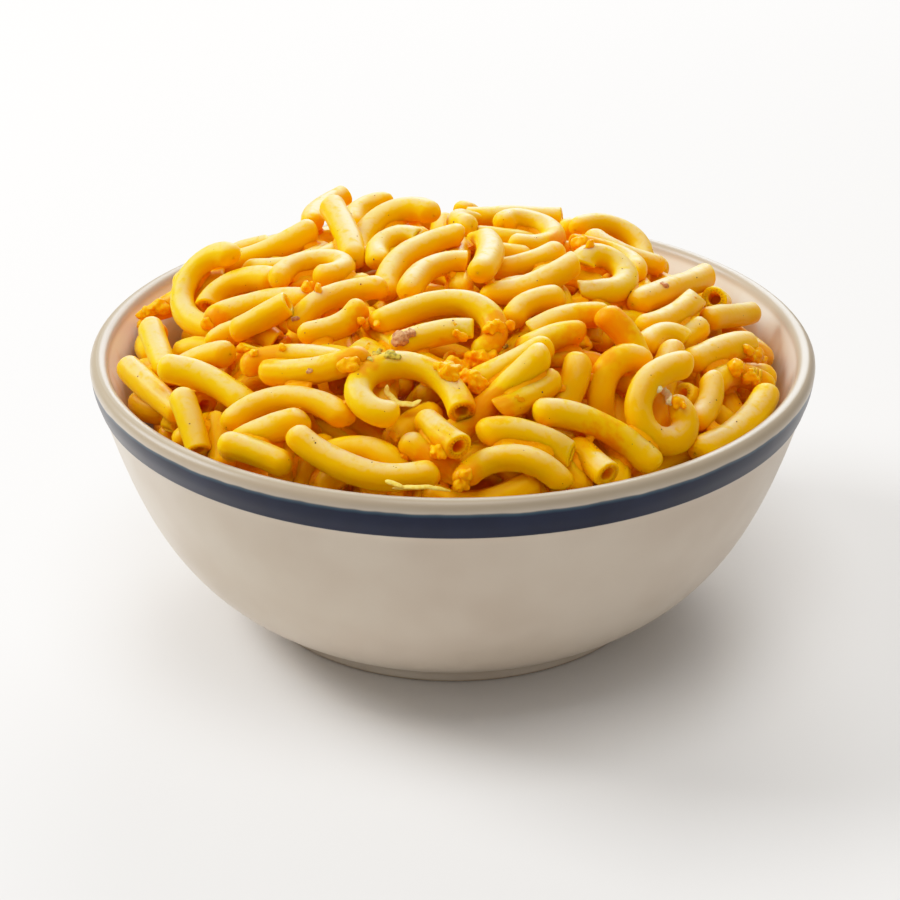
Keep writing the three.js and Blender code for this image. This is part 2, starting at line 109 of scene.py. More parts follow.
# Noodles that lie on top, outermost first: the place of the middle seen from above (x, y),
# heading, length, bend from end to end, how unevenly it bends, and, where they are not the
# usual ones, lift above the heap's form, lean and pitch. Angles are in degrees.
TOP_NOODLES = [
    (13, -73, 355, 28, -120, -0.5),
    (42, -57, 295, 45, 340, 0.9, 1, 28),
    (66, -44, 55, 35, 35, 1.2),
    (-21, -75, 330, 37, 65, 0.5),
    (-37, -53, 350, 34, -105, -0.5),
    (-18, -51, 15, 50, -285, -0.6, 1, 0),
    (33, -61, 335, 32, -60, -0.5),
    (9, -58, 40, 34, 5, 0.1),
    (2, -26, 345, 45, -205, 1.1, 1, 20),
    (-74, -30, 300, 29, 5, 0),
    (-36, -40, 345, 28, -55, -0.8),
    (-51, -38, 320, 30, -45, -0.2),
    (17, -65, 340, 22, -50, -0.3),
    (35, -45, 85, 25, -160, 0.9, 0, 38),
    (55, 5, 50, 36, 5, 0, 1),
    (-29, -17, 30, 28, -95, 0.4),
    (-47, -11, 180, 28, 75, 0.3, -1),
    (64, -20, 40, 24, -10, 0, 1),
    (27, -27, 25, 20, -35, 0.2),
    (10, -49, 40, 22, -10, 0),
    (23, -39, 30, 17, -25, 0.1),
    (51, -26, 45, 16, -85, 1.4),
    (45, -2, 275, 36, -275, -0.7, 1, 8),
    (20, -15, 20, 26, 65, -0.7),
    (11, 1, 271, 35, -40, -0.3, 0, 6),
    (-7, -10, 60, 26, -75, 1.2, 1, 0),
    (-12, 4, 55, 36, -95, 0.1),
    (-33, 5, 345, 36, -300, 0.7, 0, 0),
    (18, 8, 15, 24, 70, -0.4),
    (26, 33, 105, 40, 280, 0.5, 0, 14),
    (-28, 22, 280, 30, -10, -0.2, 2),
    (-48, 23, 10, 30, 60, 0.3, 1),
    (-67, 8, 260, 43, 210, -0.8, 2, 18),
    (-21, 33, 55, 40, -165, 1, 1, 27),
    (46, 46, 335, 34, -205, 0.3, 5, 35),
    (-36, 48, 80, 29, -55, 1, 6),
    (17, 54, 5, 26, 12, 0, 2, 15, 8),
    (-3, 42, 265, 16, -5, 0, -4, 0, -30),
    (-25, 50, 60, 20, -120, 1, 3, 20),
    (-61, 30, 200, 28, 40, 0, 2),
    (-76, 17, 10, 24, 5, 0, 5),
    (70, 6, 45, 28, -5, 0, 2),
    (-61, -45, 265, 17, -10, 0),
    (-56, -53, 255, 16, 20, -0.1),
    (-72, -14, 280, 22, 0, 0),
    (-19, -67, 340, 24, -110, 0.6),
    (0, -71, 300, 16, 15, 0, 0, 15, 35),
    (31, -71, 300, 14, 10, 0, 0, 15, 35),
    (26, -69, 325, 16, -80, 0.1),
    (28, -52, 270, 15, -25, -0.1),
    (58, -46, 265, 18, -70, -0.2),
    (-42, -25, 10, 16, -5, 0),
    (-51, -24, 345, 20, -120, -0.8, 0, 25),
    (-62, -25, 5, 17, -60, -0.3),
    (-26, -35, 30, 18, 70, 0.4),
    (64, -28, 10, 20, -110, 0.6),
    (63, -37, 345, 18, -35, 0),
    (19, -56, 40, 18, 30, 0.3),
    (11, -52, 35, 16, -20, 0),
    (-5, -38, 20, 20, -35, 0.2),
    (-16, 14, 65, 22, -155, 0.6),
    (26, 6, 355, 20, -110, 0.4, 0, 25),
    (43, 29, 345, 24, 95, -0.7),
    (16, -25, 25, 18, -85, -0.8),
    (43, -27, 320, 18, -55, -0.2),
    (54, -13, 45, 26, 25, -0.6),
    (55, -17, 55, 24, -5, 0),
    (-55, 8, 355, 24, -120, -0.8, 0, 28),
    (-29, -51, 0, 28, 40, 0.2),
    (-42, -61, 20, 22, -15, 0),
    (-10, -67, 40, 16, -75, 0),
    (-6, -72, 325, 16, 10, 0),
    (-63, -17, 335, 20, -55, -0.7),
    (-66, -36, 10, 14, -110, -0.4),
    (-65, -46, 45, 14, -90, 0),
    (-40, -67, 260, 14, -30, 0),
    (-48, -65, 330, 18, -15, 0),
    (-34, -70, 55, 16, -45, 0.2),
    (77, -15, 20, 14, -30, 0),
    (-76, -11, 345, 14, -100, -0.6),
]

# which of those show an open end, and at which end
OPEN_ENDS = ((46, 1), (47, 1), (5, 1), (17, 1), (36, 0), (14, 1), (35, 1))

# Each may shift a little to lie beside its neighbours.
NUDGES = 150
NUDGE = 5
NUDGE_TURN = 12
NUDGE_COST = 0.25
TURN_COST = 0.05
MOST_OUTWARDS = 2.5

# The noodles between, behind and, in the last rounds, under them are drawn by a seeded rule.
SEED = 20417
ROUNDS = (1.5, 3.2, 5, 7.5)
SHOWN_DEPTH = 4
# Under the surface they are pressed closer together and leave smaller gaps.
UNDER_ROUNDS = (3, 5, 7.5, 10, 13)
UNDER_CONTACT = 4.4
UNDER_COVER = 2.7
UNDER_TILT = 18
UNDER_HEIGHT = -1.5
SPOTS = 520
SPOT_STRIDE = 199
SPOT_ANGLE = 137.508
SPOT_COVER = 3.6
TRIES = 24
TRY_SHIFT = 5
FRONT_EDGE = 20
FRONT_DEPTH = 3
FILL_LENGTH = (23, 40)
FILL_BEND = (10, 200)
FILL_UNEVEN = 0.8
FILL_TILT = 8
FILL_HEIGHT = 5.5
WALL_ROUNDS = 6
WALL_EXTRA = 0.01
NORMAL_STEP = 0.5


# ---- a repeatable draw ----

DRAW_FACTOR = 1664525
DRAW_STEP = 1013904223
DRAW_SPAN = 2**32
draw_state = SEED


def draw(low, high):
    """One number between low and high, the same on every run."""
    global draw_state
    draw_state = (draw_state * DRAW_FACTOR + DRAW_STEP) % DRAW_SPAN
    return low + ((high - low) * draw_state) / DRAW_SPAN


# ---- form of the bowl and the heap ----


def place_round(radius, azimuth):
    """A place seen from above, by its distance and direction from the axis."""
    return radius * math.cos(azimuth), radius * math.sin(azimuth)


def wall_point(t, depth):
    """A point of the wall's outside, a depth further in; t runs from 0 at the foot to 1."""
    a, b, c, d = (np.array(point, float) for point in WALL_CURVE)
    s = 1 - t
    place = s**3 * a + 3 * s * s * t * b + 3 * s * t * t * c + t**3 * d
    slope = 3 * s * s * (b - a) + 6 * s * t * (c - b) + 3 * t * t * (d - c)
    slope /= math.hypot(*slope)
    return (place[0] - slope[1] * depth, place[1] + slope[0] * depth)


def inside_profile(depth, steps=WALL_STEPS):
    """Radius and height up the inside of the bowl, a depth further in."""
    points = [(0, FLOOR_HEIGHT + depth)]
    for i in range(steps + 1):
        radius, height = wall_point(i / steps, WALL + depth)
        points.append((radius, max(height, FLOOR_HEIGHT + depth)))
    points.append((LIP_CENTRE[0] - LIP_RADIUS - depth, LIP_CENTRE[1]))
    return points


def crown(x, y):
    """Height of the middle of the outermost noodles."""
    t = np.minimum(np.sqrt(x * x + y * y) / HEAP_RADIUS, 1)
    drop = SIDE_DROP * np.maximum(0, np.cos(np.arctan2(y, x) - math.radians(SIDE_AZIMUTH)))
    return EDGE_HEIGHT + CROWN_RISE * (1 - t**CROWN_POWER) - drop * t * t


def crown_normal(x, y):
    slope_x = crown(x + NORMAL_STEP, y) - crown(x - NORMAL_STEP, y)
    slope_y = crown(x, y + NORMAL_STEP) - crown(x, y - NORMAL_STEP)
    normal = np.array([-slope_x, -slope_y, 2 * NORMAL_STEP])
    return normal / np.linalg.norm(normal)


# ---- placing the noodles ----

REACH = SECTION_RADIUS + CLEARANCE + FLATNESS
INSIDE = np.array(inside_profile(0))


def reach_at(height):
    """Radius that a centreline may reach, so that the noodle clears the wall and lip."""
    upper = np.clip(np.searchsorted(INSIDE[:, 1], height, side="right"), 1, len(INSIDE) - 1)
    below = INSIDE[upper - 1]
    above = INSIDE[upper]
    rise = (height - below[:, 1]) / np.maximum(above[:, 1] - below[:, 1], 1e-9)
    inside = below[:, 0] + (above[:, 0] - below[:, 0]) * rise - REACH
    over = height - LIP_CENTRE[1]
    around = LIP_RADIUS + REACH
    beside = LIP_CENTRE[0] - np.sqrt(np.maximum(around * around - over * over, 0))
    return np.where(over > around, RIM_RADIUS - SECTION_RADIUS, np.where(over > 0, beside, inside))


def lay_noodle(row, roll=0.0):
    """A noodle bends in one plane; its bend grows or eases along it by the share `uneven`."""
    x, y, heading, length, bend, uneven, lift, lean, pitch = row
    turned = math.radians(lean)
    nx, ny, nz = crown_normal(x, y)
    up = np.array([
        nx,
        ny * math.cos(turned) - nz * math.sin(turned),
        ny * math.sin(turned) + nz * math.cos(turned),
    ])
    ahead = np.array([math.cos(math.radians(heading)), math.sin(math.radians(heading)), 0])
    forward = ahead - up * ahead.dot(up)
    forward /= np.linalg.norm(forward)
    side = np.cross(up, forward)
    nose = math.radians(pitch)
    forward, up = (
        forward * math.cos(nose) + up * math.sin(nose),
        up * math.cos(nose) - forward * math.sin(nose),
    )
    tip = math.radians(roll)
    across = side * math.cos(tip) + up * math.sin(tip)
    up = np.cross(forward, across)
    s = (np.arange(CURVE_STEPS) + 0.5) / CURVE_STEPS - 0.5
    angle = math.radians(bend) * (s + uneven * s * s)
    steps = np.stack([np.cos(angle), np.sin(angle)], 1) * length / CURVE_STEPS
    flat = np.concatenate([[[0, 0]], np.cumsum(steps, 0)])
    flat -= flat[CURVE_STEPS // 2]
    centre = np.array([x, y, crown(x, y) + lift])
    curve = centre + flat[:, :1] * forward + flat[:, 1:] * across
    return {"curve": curve, "up": up, "length": length, "depth": 0.0}


def beads(noodle):
    """The few points of a centreline that the placing looks at."""
    return noodle["curve"][:: CURVE_STEPS // (BEADS - 1)]


def wall_reach(noodle):
    points = beads(noodle)
    return np.hypot(points[:, 0], points[:, 1]) - reach_at(points[:, 2])


def clear_of_wall(noodle):
    for _ in range(WALL_ROUNDS):
        over = wall_reach(noodle)
        worst = int(np.argmax(over))
        if over[worst] <= 0:
            return
        where = beads(noodle)[worst]
        inwards = np.array([-where[0], -where[1], 0]) / math.hypot(where[0], where[1])
        noodle["curve"] = noodle["curve"] + inwards * (over[worst] + WALL_EXTRA)


def free_depth(noodle, placed, start):
    """How far in a noodle is pushed to clear those already placed."""
    own = beads(noodle)
    up = noodle["up"]
    if not len(placed.points):
        return start
    middle = own[BEADS // 2]
    reach = np.sqrt(((own - middle) ** 2).sum(1).max()) + placed.contact
    away = placed.points - middle
    along = away @ up
    near = placed.points[(away * away).sum(1) - along * along < reach * reach]
    away = own[:, None] - near[None]
    ahead = away @ up
    room = ahead * ahead - (away * away).sum(2) + placed.contact * placed.contact
    touching = room > 0
    ahead = ahead[touching]
    span = np.sqrt(room[touching])
    order = np.argsort(ahead - span, kind="stable")
    low = (ahead - span)[order]
    high = (ahead + span)[order]
    top = np.maximum.accumulate(high) if len(high) else high
    before = np.concatenate([[-np.inf], top[:-1]]) if len(high) else high
    stop = np.nonzero(low > np.maximum(before, start))[0]
    count = stop[0] if len(stop) else len(low)
    if count == 0 or top[count - 1] <= start:
        return start
    first = low[:count][low[:count] > before[:count]][-1]
    last = top[count - 1]
    return first if start - first < min(MOST_OUTWARDS, last - start) else last


def push_in(noodle, depth):
    noodle["curve"] = noodle["curve"] - noodle["up"] * depth
    noodle["depth"] = depth


class Heap:
    """The noodles laid so far."""

    def __init__(self):
        self.noodles = []
        self.points = np.zeros((0, 3))
        self.depths = np.zeros(0)
        self.contact = CONTACT
        self.cover = SPOT_COVER

    def add(self, noodle):
        self.noodles.append(noodle)
        self.points = np.concatenate([self.points, beads(noodle)])
        self.depths = np.concatenate([self.depths, np.full(BEADS, noodle["depth"])])

    def covers(self, x, y, deepest):
        across = (self.points[:, 0] - x) ** 2 + (self.points[:, 1] - y) ** 2
        return bool(np.any((across < self.cover * self.cover) & (self.depths <= deepest)))

    def without(self, dropped):
        """The same heap with some of its noodles taken out."""
        rest = Heap()
        for index, noodle in enumerate(self.noodles):
            if index not in dropped:
                rest.add(noodle)
        return rest


def full_row(row):
    return row + (0, LEAN, 0)[len(row) - 6 :]


def settle(row, heap):
    """Lays a noodle where it is pushed in least, within a short way of its own place."""
    best = None
    least = math.inf
    x, y, heading, length, bend, uneven, lift, lean, pitch = full_row(row)
    for i in range(NUDGES):
        reach = i / NUDGES
        dx = draw(-NUDGE, NUDGE) * reach
        dy = draw(-NUDGE, NUDGE) * reach
        turn = draw(-NUDGE_TURN, NUDGE_TURN) * reach
        tilt = draw(-NUDGE_TURN, NUDGE_TURN) * reach
        nudged = (x + dx, y + dy, heading + turn, length, bend, uneven, lift, lean, pitch + tilt)
        noodle = lay_noodle(nudged)
        clear_of_wall(noodle)
        depth = free_depth(noodle, heap, 0.0)
        cost = abs(depth) + NUDGE_COST * (abs(dx) + abs(dy)) + TURN_COST * abs(turn)
        if cost >= least:
            continue
        least = cost
        best = noodle
        noodle["depth"] = depth
    push_in(best, best["depth"])
    clear_of_wall(best)
    heap.add(best)


def fill_spot(spot_x, spot_y, heap, deepest, tilt, highest):
    """The best of a few drawn noodles goes where the heap is still bare."""
    best = None
    least = deepest
    for _ in range(TRIES):
        x = spot_x + draw(-TRY_SHIFT, TRY_SHIFT)
        y = spot_y + draw(-TRY_SHIFT, TRY_SHIFT)
        heading = draw(0, 360)
        length = draw(*FILL_LENGTH)
        bend = draw(*FILL_BEND)
        uneven = draw(-FILL_UNEVEN, FILL_UNEVEN)
        pitch = draw(-tilt, tilt)
        roll = draw(-tilt, tilt)
        lean = LEAN if y < 0 else 0
        noodle = lay_noodle((x, y, heading, length, bend, uneven, 0, lean, pitch), roll)
        clear_of_wall(noodle)
        depth = free_depth(noodle, heap, FRONT_DEPTH if y < FRONT_EDGE else 0)
        if abs(depth) > least:
            continue
        push_in(noodle, depth)
        points = beads(noodle)
        proud = points[:, 2] > crown(points[:, 0], points[:, 1]) + highest
        if wall_reach(noodle).max() > 0 or proud.any():
            continue
        least = abs(depth)
        best = noodle
    if best:
        heap.add(best)


def fill_rounds(heap, rounds, tilt, highest):
    for deepest in rounds:
        for i in range(SPOTS):
            spot = (i * SPOT_STRIDE) % SPOTS
            radius = HEAP_RADIUS * math.sqrt((spot + 0.5) / SPOTS)
            x, y = place_round(radius, math.radians(spot * SPOT_ANGLE))
            if not heap.covers(x, y, deepest):
                fill_spot(x, y, heap, deepest, tilt, highest)


def lay_heap():
    """The noodles on top and between, as the solid has them, and those pressed in under them."""
    heap = Heap()
    for row in TOP_NOODLES:
        settle(row, heap)
    fill_rounds(heap, ROUNDS, FILL_TILT, FILL_HEIGHT)
    for row, noodle in zip(TOP_NOODLES, heap.noodles):
        noodle["row"] = row
    deep = {i for i, noodle in enumerate(heap.noodles) if noodle["depth"] > SHOWN_DEPTH}
    again = [heap.noodles[i]["row"] for i in sorted(deep) if i < len(TOP_NOODLES)]
    heap = heap.without(deep)
    heap.contact = UNDER_CONTACT
    heap.cover = UNDER_COVER
    shown = len(heap.noodles)
    for row in again:
        settle(row, heap)
        heap.noodles[-1]["row"] = row
    fill_rounds(heap, UNDER_ROUNDS, UNDER_TILT, UNDER_HEIGHT)
    return heap.noodles[:shown], heap.noodles[shown:]


# ---- working with meshes ----

MERGE_WITHIN = 0.01
NOISE_LAYER = (17.3, 5.9, 11.7)  # the way from one layer of noise to the next


def start_fresh():
    """Leaves edit mode with nothing selected, ready for a new primitive."""
    if bpy.context.object and bpy.context.object.mode != "OBJECT":
        bpy.ops.object.mode_set(mode="OBJECT")
    bpy.ops.object.select_all(action="DESELECT")


def added(name):
    """The primitive just added, named and open in edit mode with all of it selected."""
    piece = bpy.context.object
    piece.name = name
    piece.data.name = name
    bpy.ops.object.mode_set(mode="EDIT")
    bpy.ops.mesh.select_mode(type="VERT")
    bpy.ops.mesh.select_all(action="SELECT")
    return piece


def points_of(piece):
    """The points of a piece's mesh in mm."""
    return np.array([vertex.co for vertex in piece.data.vertices]) / MM


def pick_edges(piece, wanted):
    """Selects the edges that `wanted` accepts by their two ends, in mm."""
    bpy.ops.object.mode_set(mode="OBJECT")
    mesh = piece.data
    places = points_of(piece)
    for part in (*mesh.vertices, *mesh.polygons):
        part.select = False
    for edge in mesh.edges:
        edge.select = bool(wanted(places[list(edge.vertices)]))
    bpy.ops.object.mode_set(mode="EDIT")
    bpy.ops.mesh.select_mode(type="EDGE")


def point_out():
    """Merges doubles and turns the faces of the open mesh outwards."""
    bpy.ops.mesh.select_all(action="SELECT")
    bpy.ops.mesh.remove_doubles(threshold=MERGE_WITHIN * MM)
    bpy.ops.mesh.normals_make_consistent(inside=False)


def keep_modifier(piece, kind, **settings):
    modifier = piece.modifiers.new(kind.title(), kind)
    for name, value in settings.items():
        setattr(modifier, name, value)
    bpy.context.view_layer.objects.active = piece
    bpy.ops.object.modifier_apply(modifier=modifier.name)


def take_shape(piece):
    """The mesh of a finished pattern as arrays in mm: its points and its faces' corners."""
    if piece.mode != "OBJECT":
        bpy.ops.object.mode_set(mode="OBJECT")
    bpy.context.view_layer.objects.active = piece
    piece.select_set(True)
    bpy.ops.object.transform_apply(location=True, rotation=True, scale=True)
    points = points_of(piece)
    faces = [tuple(face.vertices) for face in piece.data.polygons]
    bpy.data.objects.remove(piece)
    return points, faces


def add_trait(mesh, trait, values):
    """A value for every point of a mesh, for its material to read."""
    layer = mesh.attributes.new(trait, "FLOAT", "POINT")
    layer.data.foreach_set("value", values)


def write_piece(name, shapes, traits=None):
    """One piece from many shapes, with a value for every point of each shape in each trait."""
    points = np.concatenate([shape[0] for shape in shapes]) * MM
    corners = []
    sizes = []
    first = 0
    for shape_points, faces in shapes:
        corners.extend(first + corner for face in faces for corner in face)
        sizes.extend(len(face) for face in faces)
        first += len(shape_points)
    mesh = bpy.data.meshes.new(name)
    mesh.vertices.add(len(points))
    mesh.vertices.foreach_set("co", points.ravel())
    mesh.loops.add(len(corners))
    mesh.loops.foreach_set("vertex_index", corners)
    mesh.polygons.add(len(sizes))
    mesh.polygons.foreach_set("loop_start", np.concatenate([[0], np.cumsum(sizes)[:-1]]))
    mesh.polygons.foreach_set("use_smooth", np.ones(len(sizes), bool))
    mesh.update(calc_edges=True)
    mesh.validate()
    for trait, values in (traits or {}).items():
        add_trait(mesh, trait, np.concatenate(values))
    piece = bpy.data.objects.new(name, mesh)
    bpy.context.scene.collection.objects.link(piece)
    return piece


def unit(rows):
    """Rows of directions, each brought to length 1."""
    return rows / np.linalg.norm(rows, axis=1)[:, None]


def sections(line, ups):
    """The side and up of a section across a line, at each of its points."""
    tangent = unit(np.gradient(line, axis=0))
    side = unit(np.cross(ups, tangent))
    return side, np.cross(tangent, side)


def between(place, last):
    """Reads rows of values at places that fall between them, up to the last row."""
    step = np.minimum(place.astype(int), last - 1)
    share = (place - step)[:, None]
    return lambda rows: rows[step] * (1 - share) + rows[step + 1] * share


def soft_noise(points, size, layer=0.0):
    """A smooth random value from about -1 to 1 for each point, over patches of a size in mm."""
    offset = Vector([layer * way for way in NOISE_LAYER])
    return np.array([noise.noise(Vector(point) / size + offset) for point in points])


# ---- noodles ----

NOODLE_SIDES = 18
NOODLE_STEP = 1.6  # length of one step along a noodle
UNDER_SIDES = 10
UNDER_STEP = 3.4
PATTERN_LENGTH = 28  # a straight noodle, before it is bent and stretched
END_RINGS = (0.6, 0.6, 0.8, 1.1)  # steps from a cut end inwards
END_LENGTH = sum(END_RINGS)  # that stretch keeps its own length
CUT_EDGE = 0.5  # the cut edges are rounded by this much
ROUND_OVER = 2.8  # a softened end rounds over this far back
CLOSED_OVER = 4.0
PINCHED_OVER = 7.0
CREASE_REACH = 3.2  # in radii, how far off the middle of a noodle is that makes a crease
CREASE_GAP = 1.7
MOST_PRESSED = 0.8  # share of its radius that a pressed noodle keeps
MOST_SLANT = 22  # of a cut, in degrees
END_KINDS = {"open": 0.08, "rounded": 0.8, "pinched": 0.12}  # how often each comes
GIRTH = (0.86, 0.97)  # of the usual radius
SWELL = 0.03  # a noodle grows and shrinks by this share along it
SWELL_LENGTH = 4.2
DENTS = 0.06
DENT_WIDTH = 5.5
WANDER = 0.7  # most that its line waves up and down
FLATTENED = (-0.03, 0.07)
CLOSED_WIDTH = 0.93  # how far a rounded end closes
PINCH = 0.62  # how far a pinched end is nipped
LOOK_SEED = 4
look = np.random.default_rng(LOOK_SEED)


def model_straight_noodle(sides, steps):
    """A hollow noodle, upright on z = 0, cut square with softened edges."""
    start_fresh()
    bpy.ops.mesh.primitive_circle_add(vertices=sides, radius=NOODLE_RADIUS * MM, fill_type="NGON")
    piece = added("straight_noodle")
    bpy.ops.mesh.inset(thickness=NOODLE_WALL * MM)
    bpy.ops.mesh.delete(type="FACE")
    bpy.ops.mesh.select_all(action="SELECT")
    middle = (PATTERN_LENGTH - 2 * END_LENGTH) / steps
    for rise in [*END_RINGS, *[middle] * steps, *END_RINGS[::-1]]:
        bpy.ops.mesh.extrude_region_move(TRANSFORM_OT_translate={"value": (0, 0, rise * MM)})
    point_out()
    top = PATTERN_LENGTH

    def is_cut_edge(ends):
        heights = ends[:, 2]
        level = np.allclose(heights, 0, atol=1e-3) or np.allclose(heights, top, atol=1e-3)
        return level and np.ptp(np.hypot(ends[:, 0], ends[:, 1])) < 0.1

    pick_edges(piece, is_cut_edge)
    bpy.ops.mesh.bevel(offset=CUT_EDGE * MM, segments=3, affect="EDGES")
    point_out()
    return take_shape(piece)


straight_noodles = {}


def pattern_for(noodle, sides, step_length):
    """The straight noodle with as many steps as this one's length asks for."""
    steps = max(2, round((noodle["length"] - 2 * END_LENGTH) / step_length))
    if (sides, steps) not in straight_noodles:
        straight_noodles[sides, steps] = model_straight_noodle(sides, steps)
    return straight_noodles[sides, steps]


def nearby_points(index, noodles, reach):
    """Points of other centrelines near a noodle, with those of its own far along it."""
    own = noodles[index]["curve"]
    found = []
    for other, noodle in enumerate(noodles):
        if other == index:
            continue
        points = noodle["curve"][::4]
        away = points[:, None] - own[None, ::6]
        found.append(points[(away**2).sum(2).min(1) < reach * reach])
    return np.concatenate(found)


def softened(table, rounds=3):
    """Evens out a table of values along a noodle and round it."""
    for _ in range(rounds):
        table = (np.roll(table, 1, 1) + 2 * table + np.roll(table, -1, 1)) / 4
        inner = (table[:-2] + 2 * table[1:-1] + table[2:]) / 4
        table = np.concatenate([table[:1], inner, table[-1:]])
    return table


def pressed(index, noodles):
    """All along and round a noodle: the share of its radius that it keeps where others press
    on it, and how much it lies in a crease between them."""
    noodle = noodles[index]
    curve = noodle["curve"]
    side, up = sections(curve, noodle["up"])
    rows = np.arange(0, CURVE_STEPS + 1, 4)
    others = nearby_points(index, noodles, CREASE_REACH * NOODLE_RADIUS)
    angles = np.arange(NOODLE_SIDES) * 2 * math.pi / NOODLE_SIDES
    keep = np.ones((len(rows), NOODLE_SIDES))
    spacing = noodle["length"] / CURVE_STEPS
    for number, row in enumerate(rows):
        normals = np.cos(angles)[:, None] * side[row] + np.sin(angles)[:, None] * up[row]
        far = np.abs(np.arange(CURVE_STEPS + 1) - row) * spacing > CREASE_REACH * NOODLE_RADIUS
        points = np.concatenate([others, curve[far][::4]])
        away = points - curve[row]
        towards = normals @ away.T
        limit = (away**2).sum(1)[None] / np.maximum(2 * towards, 1e-6)
        limit[towards <= 0] = math.inf
        keep[number] = np.minimum(3, limit.min(1) / NOODLE_RADIUS)
    crease = np.clip((CREASE_GAP - keep) / (CREASE_GAP - 0.9), 0, 1)
    return softened(np.clip(keep, MOST_PRESSED, 1)), softened(crease, 2)


def cook(noodle):
    """Gives a noodle its own girth, tone, wandering line and ends."""
    s = np.linspace(0, 2 * math.pi, CURVE_STEPS + 1)
    wave = np.sin(s * look.uniform(0.5, 1.1) + look.uniform(0, 6)) * look.uniform(0, WANDER)
    noodle["curve"] = noodle["curve"] + noodle["up"] * wave[:, None]
    noodle["girth"] = look.uniform(*GIRTH)
    noodle["tone"] = look.uniform(0, 1)
    noodle["flatness"] = look.uniform(*FLATTENED)
    kinds = list(END_KINDS)
    noodle["ends"] = [str(look.choice(kinds, p=list(END_KINDS.values()))) for _ in range(2)]
    noodle["slants"] = look.uniform(0, 1, (2, 2))


def end_form(kind, distance, outer):
    """How much of its width and of its height a noodle keeps towards an end."""
    if kind == "rounded":
        over = np.clip(1 - distance / ROUND_OVER, 0, 1)
        outside = np.sqrt(1 - CLOSED_WIDTH * over * over)
        inside = 1 - 0.97 * np.clip(1 - distance / CLOSED_OVER, 0, 1) ** 0.5
        width = outside * outer + inside * (1 - outer)
        return width, width
    if kind == "pinched":
        nip = np.clip(1 - distance / PINCHED_OVER, 0, 1) ** 1.5
        width = 1 - 0.1 * nip
        return width, width * ((1 - PINCH * nip) * outer + (1 - 0.95 * nip) * (1 - outer))
    return np.ones(len(distance)), np.ones(len(distance))


def bend_noodle(pattern, index, noodles):
    """Wraps the straight noodle round a centreline, uneven, pressed and cut as it was cooked."""
    points, faces = pattern
    noodle = noodles[index]
    length = noodle["length"]
    curve = noodle["curve"]
    side, up = sections(curve, noodle["up"])
    angle = np.arctan2(points[:, 1], points[:, 0])
    radius = np.hypot(points[:, 0], points[:, 1])
    outer = np.clip((radius - NOODLE_RADIUS + NOODLE_WALL) / NOODLE_WALL, 0, 1)
    from_end = np.minimum(points[:, 2], PATTERN_LENGTH - points[:, 2])
    stretch = (length - 2 * END_LENGTH) / (PATTERN_LENGTH - 2 * END_LENGTH)
    along = np.where(
        from_end < END_LENGTH,
        np.where(points[:, 2] < PATTERN_LENGTH / 2, from_end, length - from_end),
        END_LENGTH + (points[:, 2] - END_LENGTH) * stretch,
    )
    centres = curve[(np.clip(along / length, 0, 1) * CURVE_STEPS).astype(int)]
    placed_roughly = centres + np.stack([points[:, 0], points[:, 1], points[:, 0] * 0], 1)
    keep, crease = pressed(index, noodles)
    row = np.clip(along / length, 0, 1) * (len(keep) - 1)
    low_row = np.minimum(row.astype(int), len(keep) - 2)
    column = (angle / (2 * math.pi) % 1) * NOODLE_SIDES
    low_column = column.astype(int) % NOODLE_SIDES
    high_column = (low_column + 1) % NOODLE_SIDES
    a = row - low_row
    b = column - column.astype(int)

    def sample(table):
        return (
            table[low_row, low_column] * (1 - a) * (1 - b)
            + table[low_row + 1, low_column] * a * (1 - b)
            + table[low_row, high_column] * (1 - a) * b
            + table[low_row + 1, high_column] * a * b
        )

    swell = noodle["girth"] * (1 + SWELL * np.sin(along / SWELL_LENGTH + 6 * noodle["tone"]))
    swell = swell * (1 + DENTS * soft_noise(placed_roughly, DENT_WIDTH))
    radius = radius * swell * np.minimum(1, sample(keep) / noodle["girth"])
    across = radius * np.cos(angle) * (1 + noodle["flatness"])
    above = radius * np.sin(angle) * (1 - noodle["flatness"])
    for end in (0, 1):
        distance = along if end == 0 else length - along
        widths, heights = end_form(noodle["ends"][end], distance, outer)
        across = across * widths
        above = above * heights
        tilt, turn = noodle["slants"][end]
        slant = math.tan(math.radians(MOST_SLANT * tilt)) * np.cos(angle - 2 * math.pi * turn)
        slant = slant * radius * widths
        along = along + (slant if end == 0 else -slant) * np.clip(1 - distance / 6, 0, 1)
    at = between(np.clip(along / length, 0, 1) * CURVE_STEPS, CURVE_STEPS)
    beyond = (along - np.clip(along, 0, length))[:, None]
    centre = at(curve) + at(unit(np.gradient(curve, axis=0))) * beyond
    placed = centre + at(side) * across[:, None] + at(up) * above[:, None]
    return placed, faces, sample(crease)


def heap_noodles(name, sides, step_length, first, last, noodles):
    """One piece of bent noodles, each with its own tone and how deep each point lies."""
    shapes = []
    traits = {"tone": [], "sunk": [], "crease": []}
    for index in range(first, last):
        pattern = pattern_for(noodles[index], sides, step_length)
        points, faces, crease = bend_noodle(pattern, index, noodles)
        shapes.append((points, faces))
        traits["tone"].append(np.full(len(points), noodles[index]["tone"]))
        traits["sunk"].append(crown(points[:, 0], points[:, 1]) + NOODLE_RADIUS - points[:, 2])
        traits["crease"].append(crease)
    piece = write_piece(name, shapes, traits)
    # how much each point faces up, which the pasta's material turns into a painted highlight on the
    # tops and painted shade underneath
    rise = np.array([vertex.normal.z for vertex in piece.data.vertices])
    add_trait(piece.data, "facing_up", rise * 0.5 + 0.5)
    return piece


# ---- cheese sauce ----

SAUCE_GRAIN = 1.15  # fineness of the sauce's mesh
SAUCE_SIDES = 10
SAUCE_STEPS = 16
SAUCE_DEPTH = 18  # top of the sauce where no noodle lies
ROD_RADIUS = 3.0
SAUCE_UNDER = 0.3  # it starts this far under the skin of a noodle
SAUCE_KEPT = 0.6  # share of its faces that are kept
